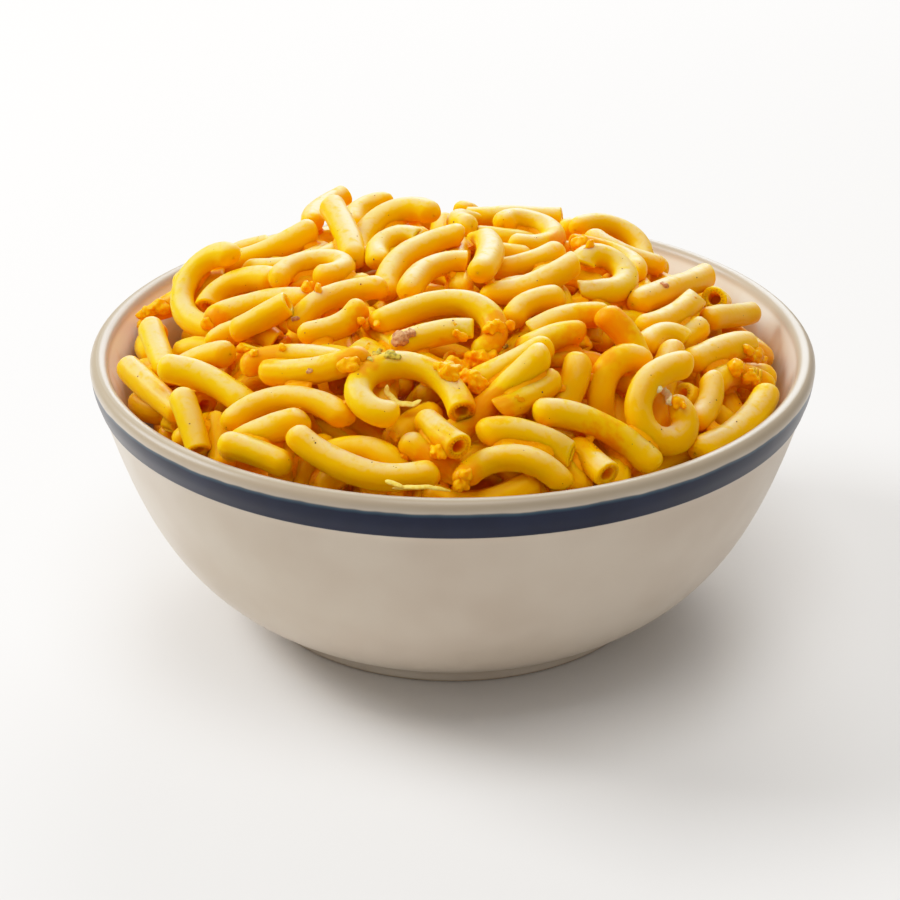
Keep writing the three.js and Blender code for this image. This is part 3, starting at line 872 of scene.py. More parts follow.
# it starts this far inside a noodle's end
SAUCE_BACK = {"open": 5.0, "rounded": 2.2, "pinched": 3.0}


def model_rod():
    """A straight rod from z = 0 to 1, for sauce round a noodle, strands and shreds."""
    start_fresh()
    bpy.ops.mesh.primitive_circle_add(vertices=SAUCE_SIDES, radius=ROD_RADIUS * MM, fill_type="NGON")
    piece = added("sauce_rod")
    for _ in range(SAUCE_STEPS):
        bpy.ops.mesh.extrude_region_move(TRANSFORM_OT_translate={"value": (0, 0, MM / SAUCE_STEPS)})
    point_out()
    return take_shape(piece)


def bend_rod(rod, line, ups, width, thickness):
    """The rod bent along a line of points and squeezed to a width and thickness."""
    points, faces = rod
    side, up = sections(line, ups)
    at = between(points[:, 2] * (len(line) - 1), len(line) - 1)
    taper = np.sqrt(np.clip(1 - (2 * points[:, 2] - 1) ** 4, 0.03, 1))[:, None]
    across = points[:, :1] / ROD_RADIUS * width / 2
    above = points[:, 1:2] / ROD_RADIUS * thickness / 2
    return at(line) + (at(side) * across + at(up) * above) * taper, faces


def smooth_line(places, steps):
    """A smooth run of points through a few places."""
    places = np.array(places, float)
    ends = np.concatenate([[2 * places[0] - places[1]], places, [2 * places[-1] - places[-2]]])
    line = []
    for i in range(len(places) - 1):
        a, b, c, d = ends[i : i + 4]
        for t in np.arange(steps) / steps:
            cubic = 2 * b + (c - a) * t + (2 * a - 5 * b + 4 * c - d) * t * t
            line.append((cubic + (3 * b - a - 3 * c + d) * t**3) / 2)
    return np.array(line + [places[-1]])


def sauce_round(rod, noodle):
    """The rod bent along a noodle, kept back from its cut ends."""
    points, faces = rod
    curve = noodle["curve"]
    side, up = sections(curve, noodle["up"])
    length = noodle["length"]
    start = SAUCE_BACK[noodle["ends"][0]] / length
    end = 1 - SAUCE_BACK[noodle["ends"][1]] / length
    at = between((start + (end - start) * points[:, 2]) * CURVE_STEPS, CURVE_STEPS)
    size = (NOODLE_RADIUS * noodle["girth"] - SAUCE_UNDER) / ROD_RADIUS
    return at(curve) + at(side) * points[:, :1] * size + at(up) * points[:, 1:2] * size, faces


def model_sauce_body(steps=72, rings=20):
    """The sauce that fills the bowl under the noodles: a round body with an uneven top."""
    profile = inside_profile(CLEARANCE, 16)
    points = [(0.0, 0.0, FLOOR_HEIGHT + CLEARANCE)]
    top_start = crown(profile[-1][0], 0) - SAUCE_DEPTH
    wall = [point for point in profile[1:] if point[1] < top_start - 2]
    edge = wall[-1][0]
    rings_out = [(radius, height, False) for radius, height in wall]
    rings_out += [(edge * ring / rings, 0.0, True) for ring in range(rings, 0, -1)]
    for radius, height, on_top in rings_out:
        for i in range(steps):
            x, y = place_round(radius, 2 * math.pi * i / steps)
            points.append((x, y, float(crown(x, y)) - SAUCE_DEPTH if on_top else height))
    points.append((0.0, 0.0, float(crown(0.0, 0.0)) - SAUCE_DEPTH))
    faces = [(0, 1 + (i + 1) % steps, 1 + i) for i in range(steps)]
    for ring in range(len(rings_out) - 1):
        for i in range(steps):
            a = 1 + ring * steps + i
            b = 1 + ring * steps + (i + 1) % steps
            faces.append((a, b, b + steps, a + steps))
    last = 1 + (len(rings_out) - 1) * steps
    faces += [(last + i, last + (i + 1) % steps, len(points) - 1) for i in range(steps)]
    return np.array(points), faces


def keep_outermost(piece):
    """Deletes what is sealed inside a skin."""
    start_fresh()
    bpy.context.view_layer.objects.active = piece
    piece.select_set(True)
    heights = [vertex.co.z for vertex in piece.data.vertices]
    for part in (piece.data.vertices, piece.data.edges, piece.data.polygons):
        for item in part:
            item.select = False
    piece.data.vertices[int(np.argmax(heights))].select = True
    bpy.ops.object.mode_set(mode="EDIT")
    bpy.ops.mesh.select_mode(type="VERT")
    bpy.ops.mesh.select_linked()
    bpy.ops.mesh.select_all(action="INVERT")
    bpy.ops.mesh.delete(type="VERT")
    bpy.ops.object.mode_set(mode="OBJECT")


def model_sauce(noodles):
    """Sauce between the noodles: their rods and its body melted into one skin."""
    rod = model_rod()
    shapes = [sauce_round(rod, noodle) for noodle in noodles] + [model_sauce_body()]
    piece = write_piece("cheese_sauce", shapes)
    keep_modifier(piece, "REMESH", mode="VOXEL", voxel_size=SAUCE_GRAIN * MM)
    keep_outermost(piece)
    keep_modifier(piece, "SMOOTH", factor=0.5, iterations=7)
    keep_modifier(piece, "DECIMATE", ratio=SAUCE_KEPT)
    return piece


# ---- bowl ----

BOWL_STEPS = 160
FINE_WALL_STEPS = 40
LIP_STEPS = 16
FOOT_EDGE = 0.6


def eased(points, rounds=2, cut=0.25):
    """A run of points with its corners cut at a share of each side, its two ends kept."""
    points = np.array(points, float)
    for _ in range(rounds):
        early = (1 - cut) * points[:-1] + cut * points[1:]
        late = cut * points[:-1] + (1 - cut) * points[1:]
        middle = np.stack([early, late], 1).reshape(-1, 2)
        points = np.concatenate([points[:1], middle[1:-1], points[-1:]])
    return points


def bowl_outline():
    """The bowl's half section, from the axis underneath, round the lip, to the axis inside."""
    under = eased([
        (0, FOOT_RECESS),
        (FOOT_INNER_RADIUS - FOOT_RECESS, FOOT_RECESS),
        (FOOT_INNER_RADIUS - FOOT_EDGE, FOOT_EDGE),
        (FOOT_INNER_RADIUS + FOOT_EDGE, 0),
        (FOOT_RADIUS - FOOT_EDGE, 0),
        (FOOT_RADIUS, FOOT_EDGE),
        (FOOT_RADIUS - 0.2, FOOT_HEIGHT - FOOT_EDGE),
    ])
    wall = [wall_point(i / FINE_WALL_STEPS, 0) for i in range(1, FINE_WALL_STEPS)]
    corner = WALL_CURVE[3]
    band = eased([
        corner,
        (corner[0] + 0.1, BAND_BOTTOM + 0.1),
        (corner[0] + BAND_STEP, BAND_BOTTOM + BAND_STEP / 2),
        (corner[0] + BAND_STEP + 0.3, BAND_BOTTOM + 1.2),
        BAND_BULGE,
        (RIM_RADIUS, LIP_CENTRE[1]),
    ])
    lip = []
    for i in range(1, LIP_STEPS):
        angle = math.pi * i / LIP_STEPS
        around = LIP_RADIUS * np.array([math.cos(angle), math.sin(angle)])
        lip.append(LIP_CENTRE + around)
    inside = eased(inside_profile(0, FINE_WALL_STEPS)[::-1])
    return np.concatenate([under, wall, band, lip, inside])


def model_bowl():
    """The bowl's half section is drawn out point by point and spun round the axis."""
    outline = bowl_outline() * MM
    start_fresh()
    bpy.ops.mesh.primitive_plane_add(size=MM, location=(0, 0, outline[0][1]))
    piece = added("stoneware_bowl")
    bpy.ops.mesh.merge(type="CENTER")
    for move in np.diff(outline, axis=0):
        bpy.ops.mesh.extrude_region_move(TRANSFORM_OT_translate={"value": (move[0], 0, move[1])})
    bpy.ops.mesh.select_all(action="SELECT")
    bpy.ops.mesh.spin(steps=BOWL_STEPS, angle=2 * math.pi, center=(0, 0, 0), axis=(0, 0, 1))
    point_out()
    points, faces = take_shape(piece)
    return write_piece("stoneware_bowl", [(points, faces)])


# ---- what lies on the noodles ----

EYE_ELEVATION = 26.34
EYE_DISTANCE = 550
EYE_AIM = (-0.64, 0, 34.45)
EYE_RISE = 2.43
LUMP_STRETCH = (0.6, 1.3)


def eye_place():
    """Where the heap is looked at from, in mm."""
    tilt = math.radians(EYE_ELEVATION)
    x, y, z = EYE_AIM
    back = np.array([x, y - EYE_DISTANCE * math.cos(tilt), z + EYE_DISTANCE * math.sin(tilt)])
    return back + EYE_RISE * np.array([0, math.sin(tilt), math.cos(tilt)])


def surface_of(pieces):
    """The joined surfaces of some pieces, for resting things on."""
    points = []
    faces = []
    for piece in pieces:
        first = len(points)
        points.extend(vertex.co / MM for vertex in piece.data.vertices)
        faces.extend([first + corner for corner in face.vertices] for face in piece.data.polygons)
    return BVHTree.FromPolygons(points, faces)


def front_spot(surface, x, y):
    """The point that is seen from the front at a place of the heap's form, and its normal."""
    eye = Vector(eye_place())
    aim = Vector((x, y, float(crown(x, y))))
    place, normal, _, _ = surface.ray_cast(eye, (aim - eye).normalized())
    if place is None:
        place, normal, _, _ = surface.find_nearest(aim)
    return np.array(place), np.array(normal)


def model_lump(seed, roughness, fineness=3):
    """A small uneven lump of about 1 mm radius."""
    start_fresh()
    bpy.ops.mesh.primitive_ico_sphere_add(subdivisions=fineness, radius=MM)
    piece = added("lump")
    points, faces = take_shape(piece)
    out = unit(points)
    coarse = soft_noise(out, 0.9, seed)
    fine = soft_noise(out, 0.4, seed + 9)
    return out * (1 + roughness * coarse + 0.5 * roughness * fine)[:, None], faces


def random_turn():
    """A random rotation."""
    q = look.normal(size=4)
    w, x, y, z = q / np.linalg.norm(q)
    return np.array([
        [1 - 2 * (y * y + z * z), 2 * (x * y - z * w), 2 * (x * z + y * w)],
        [2 * (x * y + z * w), 1 - 2 * (x * x + z * z), 2 * (y * z - x * w)],
        [2 * (x * z - y * w), 2 * (y * z + x * w), 1 - 2 * (x * x + y * y)],
    ])


def one_of(patterns):
    return patterns[int(look.integers(len(patterns)))]


def lump_at(pattern, place, size):
    points, faces = pattern
    stretched = points * look.uniform(*LUMP_STRETCH, 3) * size
    return stretched @ random_turn().T + place, faces


def melt(piece, grain_size, rounds):
    """Lumps that touch run together into one soft skin."""
    keep_modifier(piece, "REMESH", mode="VOXEL", voxel_size=grain_size * MM)
    keep_modifier(piece, "SMOOTH", factor=0.5, iterations=rounds)


CURD_GRAIN = 0.3  # fineness of the curds' mesh
CURD_MELT = 5  # rounds of smoothing
CURD_SPREAD = 0.5  # share of a clump's width
CURD_SIZE = (0.9, 1.6)
CURD_RISE = 0.2  # share of its size that a lump stands above the noodles
CURD_KNOBS = 6  # small lumps round each larger one
KNOB_REACH = 0.8
KNOB_SIZE = (0.3, 0.6)  # shares of the larger lump's
BIT_GRAIN = 0.22
BIT_LUMPS = 9
BIT_SPREAD = 0.3
BIT_SIZE = (0.35, 0.6)

# Clumps of curdled cheese sauce: place on the heap's form (x, y), how wide the clump is, and
# how many lumps it has.
CLUMPS = [
    (1, -50, 3.4, 26),
    (6, -46, 2.6, 14),
    (5, -54, 2.6, 12),
    (-20, -31, 2.2, 5),
    (2, -38, 2, 4),
    (11, -35, 2.5, 5),
    (-23, -46, 2.5, 6),
    (-13, -68, 1.5, 3),
    (-3, -72, 2.2, 5),
    (2, -79, 2.5, 5),
    (75, -8, 3, 6),
    (71, -22, 3, 5),
    (-78, 19, 4, 9),
    (-73, 11, 2, 4),
    (-59, -15, 1.8, 4),
    (-34, -11, 2.5, 6),
    (-48, -34, 2, 4),
    (-40, -34, 2, 4),
    (52, -46, 1.8, 4),
    (36, 62, 3, 6),
]

# Bits of seasoning and curd: place on the heap's form (x, y), and how large the bit is.
BROWN_BITS = [
    (-11.7, -38.3, 2.5),
    (-10, -37.3, 1.7),
    (53.6, 9.7, 1.5),
    (-37.3, -24.7, 1.0),
    (-32.8, -46.1, 0.9),
]
GREEN_BITS = [
    (-14.5, -44.2, 1.5),
    (-17.3, -43.5, 1.3),
    (-12.7, -45.5, 1.2),
    (12.1, -41.6, 1.2),
    (-19, -45, 0.9),
]
WHITE_BITS = [(48.8, -44.6, 1.7), (49.6, -46.6, 1.4)]
PEPPER_GRAINS = 420
PEPPER_SIZE = (0.1, 0.25)
PEPPER_DROP = 120  # the height that it is ground from
PEPPER_SUNK = 0.3

# Torn pasta: the places that each shred runs through, its width and its thickness.
CURL = (
    (-14.9, -56.5, 81.5),
    (-14.4, -57.3, 79.3),
    (-12, -58.6, 78),
    (-9.5, -58.8, 77.8),
    (-7.3, -58.3, 78.8),
)
LIP_SHRED = ((-12.9, -83, 69.2), (-8.8, -84.3, 70), (-4.9, -84.4, 70), (-0.5, -83.6, 69))
LIP_SCRAP = ((-14.6, -82.6, 70.6), (-12.8, -83.4, 70.2), (-10.6, -84.2, 69.9))
SHREDS = [(CURL, 1.6, 0.6), (LIP_SHRED, 1.1, 0.6), (LIP_SCRAP, 1.2, 0.7)]
SHRED_STEPS = 12
SHRED_WANDER = 0.5
SHRED_UP = (0.0, -0.5, 1.0)

# Sauce that has run down in strands: from and to on the heap's form, width and how many.
STRANDS = [
    ((75.4, -4), (73.5, -12), 1.0, 14),
    ((74, -12), (72.5, -22), 1.0, 14),
    ((-78, 22), (-80, 14), 1.0, 6),
]
STRAND_DROP = 2.5  # a strand is left out where it would hang across a gap wider than this
STRAND_START = (0, 0.3)
STRAND_END = (0.7, 1)
STRAND_WIDTH = (0.6, 1.2)
STRAND_THICKNESS = 0.5

SAUCED_FULL = 1.2  # sauce is full for the first fifth of its reach, and fades from there
# Places where sauce has run over the noodles and colours them: x, y, and how far it reaches.
SAUCED = [
    (0, -50, 9),
    (32, -40, 10),
    (36, -29, 9),
    (32, -66, 9),
    (8, -62, 8),
    (-3, -73, 6),
    (2, -79, 6),
    (75, -10, 11),
    (71, -24, 8),
    (-78, 19, 8),
    (-73, 11, 5),
    (-58, -15, 5),
    (-34, -11, 7),
    (-45, -34, 7),
    (11, -35, 7),
    (-22, -45, 6),
    (-21, -31, 5),
    (36, 62, 9),
    (30, 20, 8),
]


# ---- materials ----


def linear(colour):
    """Turns an sRGB hex colour into linear light."""
    parts = [int(colour[i : i + 2], 16) / 255 for i in (1, 3, 5)]
    return [c / 12.92 if c <= 0.04045 else ((c + 0.055) / 1.055) ** 2.4 for c in parts] + [1]


# Each form of node: its kind, the sockets its inputs go to, its output and its settings. Any
# other name is an operation on two numbers. A pattern's scale is 1 over its patches' width in mm.
FORMS = {
    "coordinates": ("TexCoord", (), "Object", {}),
    "scaled": ("VectorMath", (0, "Scale"), 0, {"operation": "SCALE"}),
    "attribute": ("Attribute", (), "Fac", {}),
    "axes": ("SeparateXYZ", (0,), None, {}),
    "red": ("SeparateColor", (0,), 0, {}),
    "noise": ("TexNoise", ("Vector", "Scale", "Detail"), "Fac", {}),
    "cells": ("TexVoronoi", ("Vector", "Scale"), None, {}),
    "blend": ("Mix", (0, 6, 7), 2, {"data_type": "RGBA"}),
    "ramp": (
        "MapRange",
        ("Value", "From Min", "From Max", "To Min", "To Max"),
        0,
        {"interpolation_type": "SMOOTHSTEP"},
    ),
    "bump": ("Bump", ("Height", "Distance", "Strength"), 0, {}),
}


def add_node(material, form, *inputs, **settings):
    """Adds a node; each input is a plain value, a hex colour or another node's output."""
    usual = ("Math", (0, 1), 0, {"operation": form})
    kind, sockets, output, own_settings = FORMS.get(form, usual)
    tree = material.node_tree
    node = tree.nodes.new("ShaderNode" + kind)
    for name, value in {**own_settings, **settings}.items():
        setattr(node, name, value)
    for socket, value in zip(sockets, inputs):
        if isinstance(value, bpy.types.NodeSocket):
            tree.links.new(value, node.inputs[socket])
        else:
            node.inputs[socket].default_value = linear(value) if isinstance(value, str) else value
    return node.outputs if output is None else node.outputs[output]


def new_material(name, **constants):
    """A principled material with its constants set, its own add_node, and the place in mm."""
    material = bpy.data.materials.new(name)
    material.use_nodes = True
    shader = material.node_tree.nodes["Principled BSDF"]
    for socket, value in constants.items():
        value = linear(value) if isinstance(value, str) else value
        shader.inputs[socket.replace("_", " ")].default_value = value
    add = partial(add_node, material)
    return material, add, add("scaled", add("coordinates"), 1 / MM)


def painted(material, **outputs):
    """The material with nodes' outputs linked to sockets of its shader."""
    tree = material.node_tree
    for socket, output in outputs.items():
        tree.links.new(output, tree.nodes["Principled BSDF"].inputs[socket.replace("_", " ")])
    return material


SPECK_SPACING = 2.6
SPECK_RADIUS = 0.11
SPECK_SHARE = 0.3  # of the places where one could be


def cooked_pasta():
    """Cooked durum pasta wet with thin cheese sauce: soft, translucent, softly glossy. The tops are
    painted pale, a painted highlight; underneath, in the creases and deep in the heap it is painted
    deeper orange, painted shade."""
    material, add, place = new_material(
        "cooked_durum_pasta",
        IOR=1.25,
        Specular_Tint="#ffd860",
        Subsurface_Weight=1.0,
        Subsurface_Radius=(1.0, 0.8, 0.12),
        Subsurface_Scale=3.5 * MM,
    )
    tone, facing_up, creased, sunk, sauced = (
        add("attribute", attribute_name=name)
        for name in ("tone", "facing_up", "crease", "sunk", "sauced")
    )
    # clouds as wide as a noodle, and streaks of sauce a third of that
    clouds = add("noise", place, 1 / 7)
    streaks = add("noise", place, 1 / 2.2, 3)
    # each noodle has its own tone, a little cloudy
    tone = add("ADD", add("MULTIPLY", tone, 0.55), add("MULTIPLY", clouds, 0.45))
    colour = add("blend", add("ramp", tone, 0.15, 0.85), "#ffb400", "#fba800")
    # how much a point faces up, for the painted highlight on top and painted shade underneath; how
    # much it lies in a crease, for painted shade there; and how much sauce has run over it
    pale = add("ADD", facing_up, add("MULTIPLY", streaks, 0.35))
    crease_shade = add("ADD", creased, add("MULTIPLY", streaks, 0.4))
    runs = add("ADD", sauced, add("SUBTRACT", streaks, 0.5))
    # painted highlight on the tops, but not where painted shade falls deep in the heap or in a
    # crease, nor under sauce
    lit_top = add("ramp", pale, 0.95, 1.2, 0.0, 0.95)
    for shade_and_sauce in (
        add("ramp", sunk, 2.5, 6.5, 1.0, 0.15),
        add("ramp", crease_shade, 0.3, 0.85, 1.0, 0.0),
        add("ramp", runs, -0.1, 0.3, 1.0, 0.0),
    ):
        lit_top = add("MULTIPLY", lit_top, shade_and_sauce)
    # painted shade: a noodle is deeper orange the deeper it lies in the heap
    deep = add("ramp", add("ADD", sunk, add("MULTIPLY", clouds, 3)), 4, 14, 0.0, 0.8)
    # painted shade: deeper orange underneath, in the creases and deep in the heap; and the real
    # orange of sauce where it has run
    for share, shade in (
        (lit_top, "#fdc68c"),
        (add("ramp", pale, 0.15, 0.7, 0.7, 0.0), "#fdaf00"),
        (add("ramp", crease_shade, 0.5, 1.25, 0.0, 0.5), "#faa200"),
        (deep, "#f8a000"),
        (add("ramp", runs, 0.2, 0.65, 0.0, 0.9), "#f88a00"),
    ):
        colour = add("blend", share, colour, shade)
    # a dust of brown specks, coarser than ground spice so that they show
    cells = add("cells", place, 1 / SPECK_SPACING)
    edge = SPECK_RADIUS / SPECK_SPACING
    near = add("ramp", cells["Distance"], edge, 1.4 * edge, 1.0, 0.0)
    dust = add("MULTIPLY", near, add("LESS_THAN", add("red", cells["Color"]), SPECK_SHARE))
    return painted(
        material,
        Base_Color=add("blend", dust, colour, "#6a3a10"),
        Roughness=add("ramp", streaks, 0.3, 0.7, 0.34, 0.44),
        Normal=add("bump", streaks, 0.1 * MM, 1.0),
    )


def thick_sauce():
    """Thick cheese sauce: smooth, wet and deep orange, a little grainy."""
    material, add, place = new_material("thick_cheese_sauce", IOR=1.22, Specular_Tint="#ffc840")
    # pools a noodle wide, and grains of curdled cheese of 0.9 mm
    clouds = add("noise", place, 1 / 6)
    fine = add("noise", place, 1 / 0.9, 3)
    colour = add("blend", add("ramp", clouds, 0.3, 0.7), "#f29c00", "#e88600")
    return painted(
        material,
        Base_Color=add("blend", add("ramp", fine, 0.55, 0.75, 0.0, 0.4), colour, "#f0a010"),
        Roughness=add("ramp", fine, 0.3, 0.7, 0.3, 0.42),
        Normal=add("bump", fine, 0.25 * MM, 1.0),
    )


def melted_curds():
    """Shreds of melted cheddar that have clumped: brighter orange than the sauce, waxy."""
    material, add, place = new_material(
        "melted_cheddar",
        IOR=1.25,
        Specular_Tint="#ffd860",
        Subsurface_Weight=0.8,
        Subsurface_Radius=(1.0, 0.5, 0.06),
        Subsurface_Scale=1.2 * MM,
    )
    # lumps of 2.5 mm that melted unevenly, with the same 0.9 mm grain
    clouds = add("noise", place, 1 / 2.5)
    return painted(
        material,
        Base_Color=add("blend", add("ramp", clouds, 0.3, 0.7), "#ff9c00", "#ffac00"),
        Roughness=add("ramp", clouds, 0.3, 0.7, 0.3, 0.4),
        Normal=add("bump", add("noise", place, 1 / 0.9, 3), 0.12 * MM, 1.0),
    )


def dull(name, light, dark):
    """Dry-looking bits in two mixed tones: crumbs, herbs, pale curd and ground pepper."""
    material, add, place = new_material(name, Roughness=0.6, IOR=1.35)
    mottled = add("ramp", add("noise", place, 1 / 0.8), 0.4, 0.65)
    return painted(material, Base_Color=add("blend", mottled, light, dark))


BAND_DEPTH = 3.2  # the band's colour goes no further in from the rim's outside
SMEAR_AND_LIGHT_FROM = 45  # sauce smear and painted light show on the inside of the wall above this height
SMEAR_AND_LIGHT_TO = (61, 72)  # and the smear, partly painted light, fades over this one
WALL_LEAN = 0.303  # how much wider the wall is for each mm of height there
WALL_MIDDLE = wall_point(0.75, WALL / 2)[0] - WALL_LEAN * wall_point(0.75, WALL / 2)[1]


def glazed_stoneware():
    """Cream glaze over thrown stoneware, with a band brushed in cobalt under the lip."""
    material, add, place = new_material("glazed_stoneware", IOR=1.37)
    x, y, height = add("axes", place)
    radius = add("POWER", add("ADD", add("POWER", x, 2), add("POWER", y, 2)), 0.5)
    # the glaze pools over 24 mm, and the brush leaves strokes of 9 mm
    clouds = add("noise", place, 1 / 24)
    brush = add("noise", place, 1 / 9)
    colour = add("blend", add("ramp", clouds, 0.3, 0.7), "#c7b9a7", "#beae9b")
    # the band: crisp along the step, uneven and bleeding teal along its top
    uneven = add("ADD", height, add("MULTIPLY", add("SUBTRACT", brush, 0.5), 0.9))
    outer = add("GREATER_THAN", radius, RIM_RADIUS - BAND_DEPTH)
    from_below = add("ramp", height, BAND_BOTTOM + 0.15, BAND_BOTTOM + 0.45)
    from_above = add("ramp", uneven, BAND_TOP - 0.15, BAND_TOP + 0.35, 1.0, 0.0)
    band = add("MULTIPLY", add("MULTIPLY", from_below, from_above), outer)
    navy = add("blend", add("ramp", brush, 0.35, 0.7), "#05071a", "#0a0f24")
    navy = add("blend", add("ramp", uneven, BAND_TOP - 1.1, BAND_TOP), navy, "#2f4652")
    leaning = add("SUBTRACT", radius, add("MULTIPLY", height, WALL_LEAN))
    inner = add("LESS_THAN", leaning, WALL_MIDDLE)
    inner = add("MULTIPLY", inner, add("GREATER_THAN", height, SMEAR_AND_LIGHT_FROM))
    smear_and_light = add("ramp", add("ADD", height, add("MULTIPLY", brush, 14)), *SMEAR_AND_LIGHT_TO, 1.0, 0.0)
    for share, shade in (
        (band, navy),
        # inside, the glaze is painted whiter, painted light that offsets the orange light the
        # noodles throw on it; and above the noodles a golden smear runs along it, partly real sauce
        # and partly painted light thrown by the noodles
        (add("MULTIPLY", inner, 0.9), "#e8e4d4"),
        (add("MULTIPLY", add("MULTIPLY", smear_and_light, inner), 0.85), "#cc9a34"),
        # the lip is painted darker, painted shade over its top, and the foot is left bare
        (add("ramp", height, LIP_CENTRE[1] - 1, LIP_CENTRE[1] + 1.5, 0.0, 0.85), "#98876e"),
        (add("ramp", height, 0.3, 0.9, 1.0, 0.0), "#a89074"),
    ):
        colour = add("blend", share, colour, shade)
    return painted(
        material,
        Base_Color=colour,
        Roughness=add("ramp", clouds, 0.3, 0.7, 0.32, 0.37),
        Specular_Tint=add("blend", band, "#ffffff", "#ccd8ff"),
    )


def give(piece, material, node):
    """Finishes a piece: its material, the body it rides on and what it stands for."""
    piece.data.materials.append(material)
    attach(piece, "root")
    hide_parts(node)


# ---- the object ----

shown_noodles, under_noodles = lay_heap()
noodles = shown_noodles + under_noodles
for noodle in noodles:
    cook(noodle)
for number, end in OPEN_ENDS:
    for noodle in noodles:
        if noodle.get("row") == TOP_NOODLES[number]:
            noodle["ends"][end] = "open"

shown = len(shown_noodles)
half = shown // 2
elbows = [
    heap_noodles("elbows_on_top", NOODLE_SIDES, NOODLE_STEP, 0, half, noodles),
    heap_noodles("elbows_between", NOODLE_SIDES, NOODLE_STEP, half, shown, noodles),
    heap_noodles("elbows_below", UNDER_SIDES, UNDER_STEP, shown, len(noodles), noodles),
]
sauce = model_sauce(noodles)
surface = surface_of(elbows + [sauce])

spots = np.array([list(front_spot(surface, x, y)[0]) + [reach] for x, y, reach in SAUCED])


def sauce_run(piece):
    """How much sauce lies on each point of a piece."""
    away = np.sqrt(((points_of(piece)[:, None] - spots[None, :, :3]) ** 2).sum(2))
    return np.clip(SAUCED_FULL - away / spots[None, :, 3], 0, 1).max(1)


for piece in elbows:
    add_trait(piece.data, "sauced", sauce_run(piece))

lumps = [model_lump(seed, 0.3, 2) for seed in (1, 2, 3)]
shapes = []
for x, y, width, count in CLUMPS:
    for _ in range(count):
        dx, dy = look.normal(0, width * CURD_SPREAD, 2)
        place, normal = front_spot(surface, x + dx, y + dy)
        size = look.uniform(*CURD_SIZE) * min(1.3, width / 2.2)
        middle = place + normal * CURD_RISE * size
        shapes.append(lump_at(one_of(lumps), middle, size))
        for _ in range(CURD_KNOBS):
            aside = look.normal(size=3) + normal
            knob = middle + aside / np.linalg.norm(aside) * KNOB_REACH * size
            shapes.append(lump_at(one_of(lumps), knob, size * look.uniform(*KNOB_SIZE)))
curds = write_piece("melted_cheese_curds", shapes)
melt(curds, CURD_GRAIN, CURD_MELT)


def scatter_bits(name, bits, pattern_seeds, roughness, rounds):
    """Small lumps clustered at their places, melted together."""
    patterns = [model_lump(seed, roughness) for seed in pattern_seeds]
    found = []
    for x, y, size in bits:
        for _ in range(BIT_LUMPS):
            dx, dy = look.normal(0, BIT_SPREAD * size, 2)
            place, _ = front_spot(surface, x + dx, y + dy)
            found.append(lump_at(one_of(patterns), place, size * look.uniform(*BIT_SIZE)))
    piece = write_piece(name, found)
    melt(piece, BIT_GRAIN, rounds)
    return piece


brown_bits = scatter_bits("browned_crumbs", BROWN_BITS, (4, 5), 0.5, 2)
green_bits = scatter_bits("herb_flecks", GREEN_BITS, (6, 7), 0.4, 5)
white_bits = scatter_bits("pale_curds", WHITE_BITS, (8, 9), 0.4, 6)

rod = model_rod()
shapes = []
for places, width, thickness in SHREDS:
    line = smooth_line(places, SHRED_STEPS)
    line += np.stack([soft_noise(line, 2.0, layer) for layer in (1, 2, 3)], 1) * SHRED_WANDER
    shapes.append(bend_rod(rod, line, np.array([SHRED_UP]), width, thickness))
torn_shreds = write_piece("torn_pasta_shreds", shapes)

shapes = []
for start, end, width, count in STRANDS:
    for _ in range(count):
        shift = look.normal(0, width, 2)
        reach = look.uniform(*STRAND_START), look.uniform(*STRAND_END)
        share = np.linspace(*reach, SHRED_STEPS)[:, None]
        flat = (1 - share) * np.array(start) + share * np.array(end) + shift
        found = [front_spot(surface, *spot) for spot in flat]
        line = np.array([place for place, _ in found])
        if np.linalg.norm(np.diff(line, axis=0), axis=1).max() > STRAND_DROP:
            continue
        for _ in range(3):
            line[1:-1] = (line[:-2] + 2 * line[1:-1] + line[2:]) / 4
        ups = np.array([normal for _, normal in found])
        across = width * look.uniform(*STRAND_WIDTH)
        shapes.append(bend_rod(rod, line, ups, across, STRAND_THICKNESS * width))
strands = write_piece("cheese_strands", shapes)

grains = [model_lump(seed, 0.5, 1) for seed in (11, 12, 13)]
shapes = []
for _ in range(PEPPER_GRAINS):
    radius = HEAP_RADIUS * math.sqrt(look.uniform(0, 1))
    x, y = place_round(radius, look.uniform(0, 2 * math.pi))
    place, _, _, _ = surface.ray_cast(Vector((x, y, PEPPER_DROP)), Vector((0, 0, -1)))
    size = look.uniform(0, 1) ** 2 * (PEPPER_SIZE[1] - PEPPER_SIZE[0]) + PEPPER_SIZE[0]
    if place is not None:
        sunk = np.array(place) - PEPPER_SUNK * size * np.array([0, 0, 1])
        shapes.append(lump_at(one_of(grains), sunk, size))
pepper = write_piece("ground_pepper", shapes)

pasta = cooked_pasta()
for piece in elbows:
    give(piece, pasta, "macaroni")
give(sauce, thick_sauce(), "macaroni")
cheddar = melted_curds()
for piece in (curds, strands):
    give(piece, cheddar, "macaroni")
give(white_bits, dull("pale_cheese_curd", "#e9dfa8", "#d8cf86"), "macaroni")
give(torn_shreds, dull("pale_torn_pasta", "#f6d25c", "#efbe38"), "macaroni")
give(brown_bits, dull("browned_crumb", "#cc9058", "#aa6a3c"), "macaroni")
give(green_bits, dull("herb_fleck", "#ceae2a", "#968626"), "macaroni")
give(pepper, dull("ground_black_pepper", "#3a2614", "#6a4420"), "macaroni")

bowl = model_bowl()
give(bowl, glazed_stoneware(), "bowl")

# ---- floor, light and camera ----

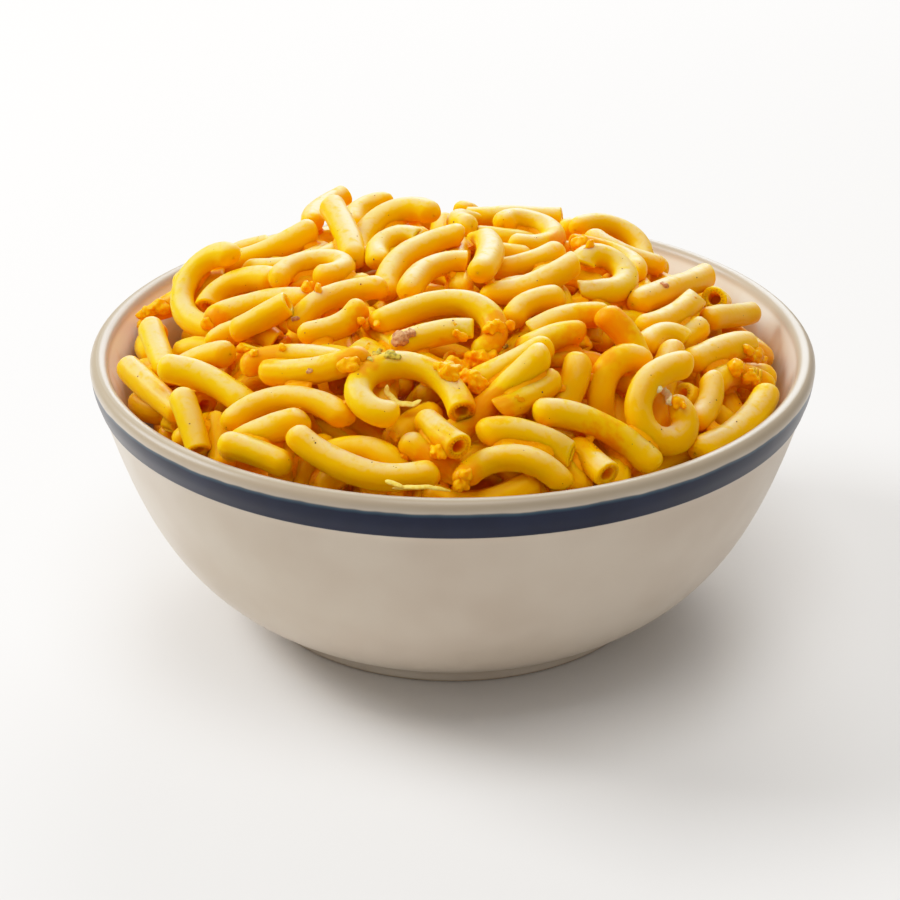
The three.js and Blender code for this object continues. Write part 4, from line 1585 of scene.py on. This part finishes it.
FLOOR_WIDTH = 8  # in metres
WORLD_LIGHT = 0.4
LIT_PLACE = Vector((0, 0, 60))
# Square soft boxes: name, place, width and power.
LIGHTS = [
    ("window", (-900, 250, 800), 500, 14.2),
    ("backdrop", (150, 1300, 700), 800, 15),
    ("overhead", (50, -200, 1200), 600, 6.5),
]
LENS_LENGTH = 85.435
SENSOR_WIDTH = 36

start_fresh()
bpy.ops.mesh.primitive_plane_add(size=FLOOR_WIDTH)
floor = bpy.context.object
floor.name = "floor"
floor.data.materials.append(new_material("pale_floor", Roughness=0.9, Base_Color="#e4e1dd")[0])

for name, place, width, power in LIGHTS:
    box = bpy.data.lights.new(name, "AREA")
    box.shape = "SQUARE"
    box.size = width * MM
    box.energy = power
    lamp = bpy.data.objects.new(name, box)
    lamp.location = Vector(place) * MM
    lamp.rotation_euler = (LIT_PLACE - Vector(place)).to_track_quat("-Z", "Y").to_euler()
    bpy.context.scene.collection.objects.link(lamp)

world = bpy.data.worlds.new("studio")
world.use_nodes = True
sky = world.node_tree.nodes["Background"].inputs
sky["Color"].default_value = linear("#ffffff")
sky["Strength"].default_value = WORLD_LIGHT
bpy.context.scene.world = world

# how the light is shown: straight up to the bright tones, which ease off towards white
BRIGHTEST = 1.5
TONES = ((0.1, 0.17), (0.2, 0.32), (0.4, 0.59), (0.6, 0.79), (0.8, 0.92), (1, 0.99))
view = bpy.context.scene.view_settings
view.view_transform = "Standard"
view.use_curve_mapping = True
view.curve_mapping.white_level = [BRIGHTEST] * 3
curve = view.curve_mapping.curves[3]
curve.points[1].location = TONES[-1]
for tone in TONES[:-1]:
    curve.points.new(*tone)
view.curve_mapping.update()

lens = bpy.data.cameras.new("front_view")
lens.lens = LENS_LENGTH
lens.sensor_width = SENSOR_WIDTH
lens.clip_start = 0.01
camera = bpy.data.objects.new("front_view", lens)
camera.location = Vector(eye_place()) * MM
camera.rotation_euler = (math.radians(90 - EYE_ELEVATION), 0, 0)
bpy.context.scene.collection.objects.link(camera)
bpy.context.scene.camera = camera

start_fresh()
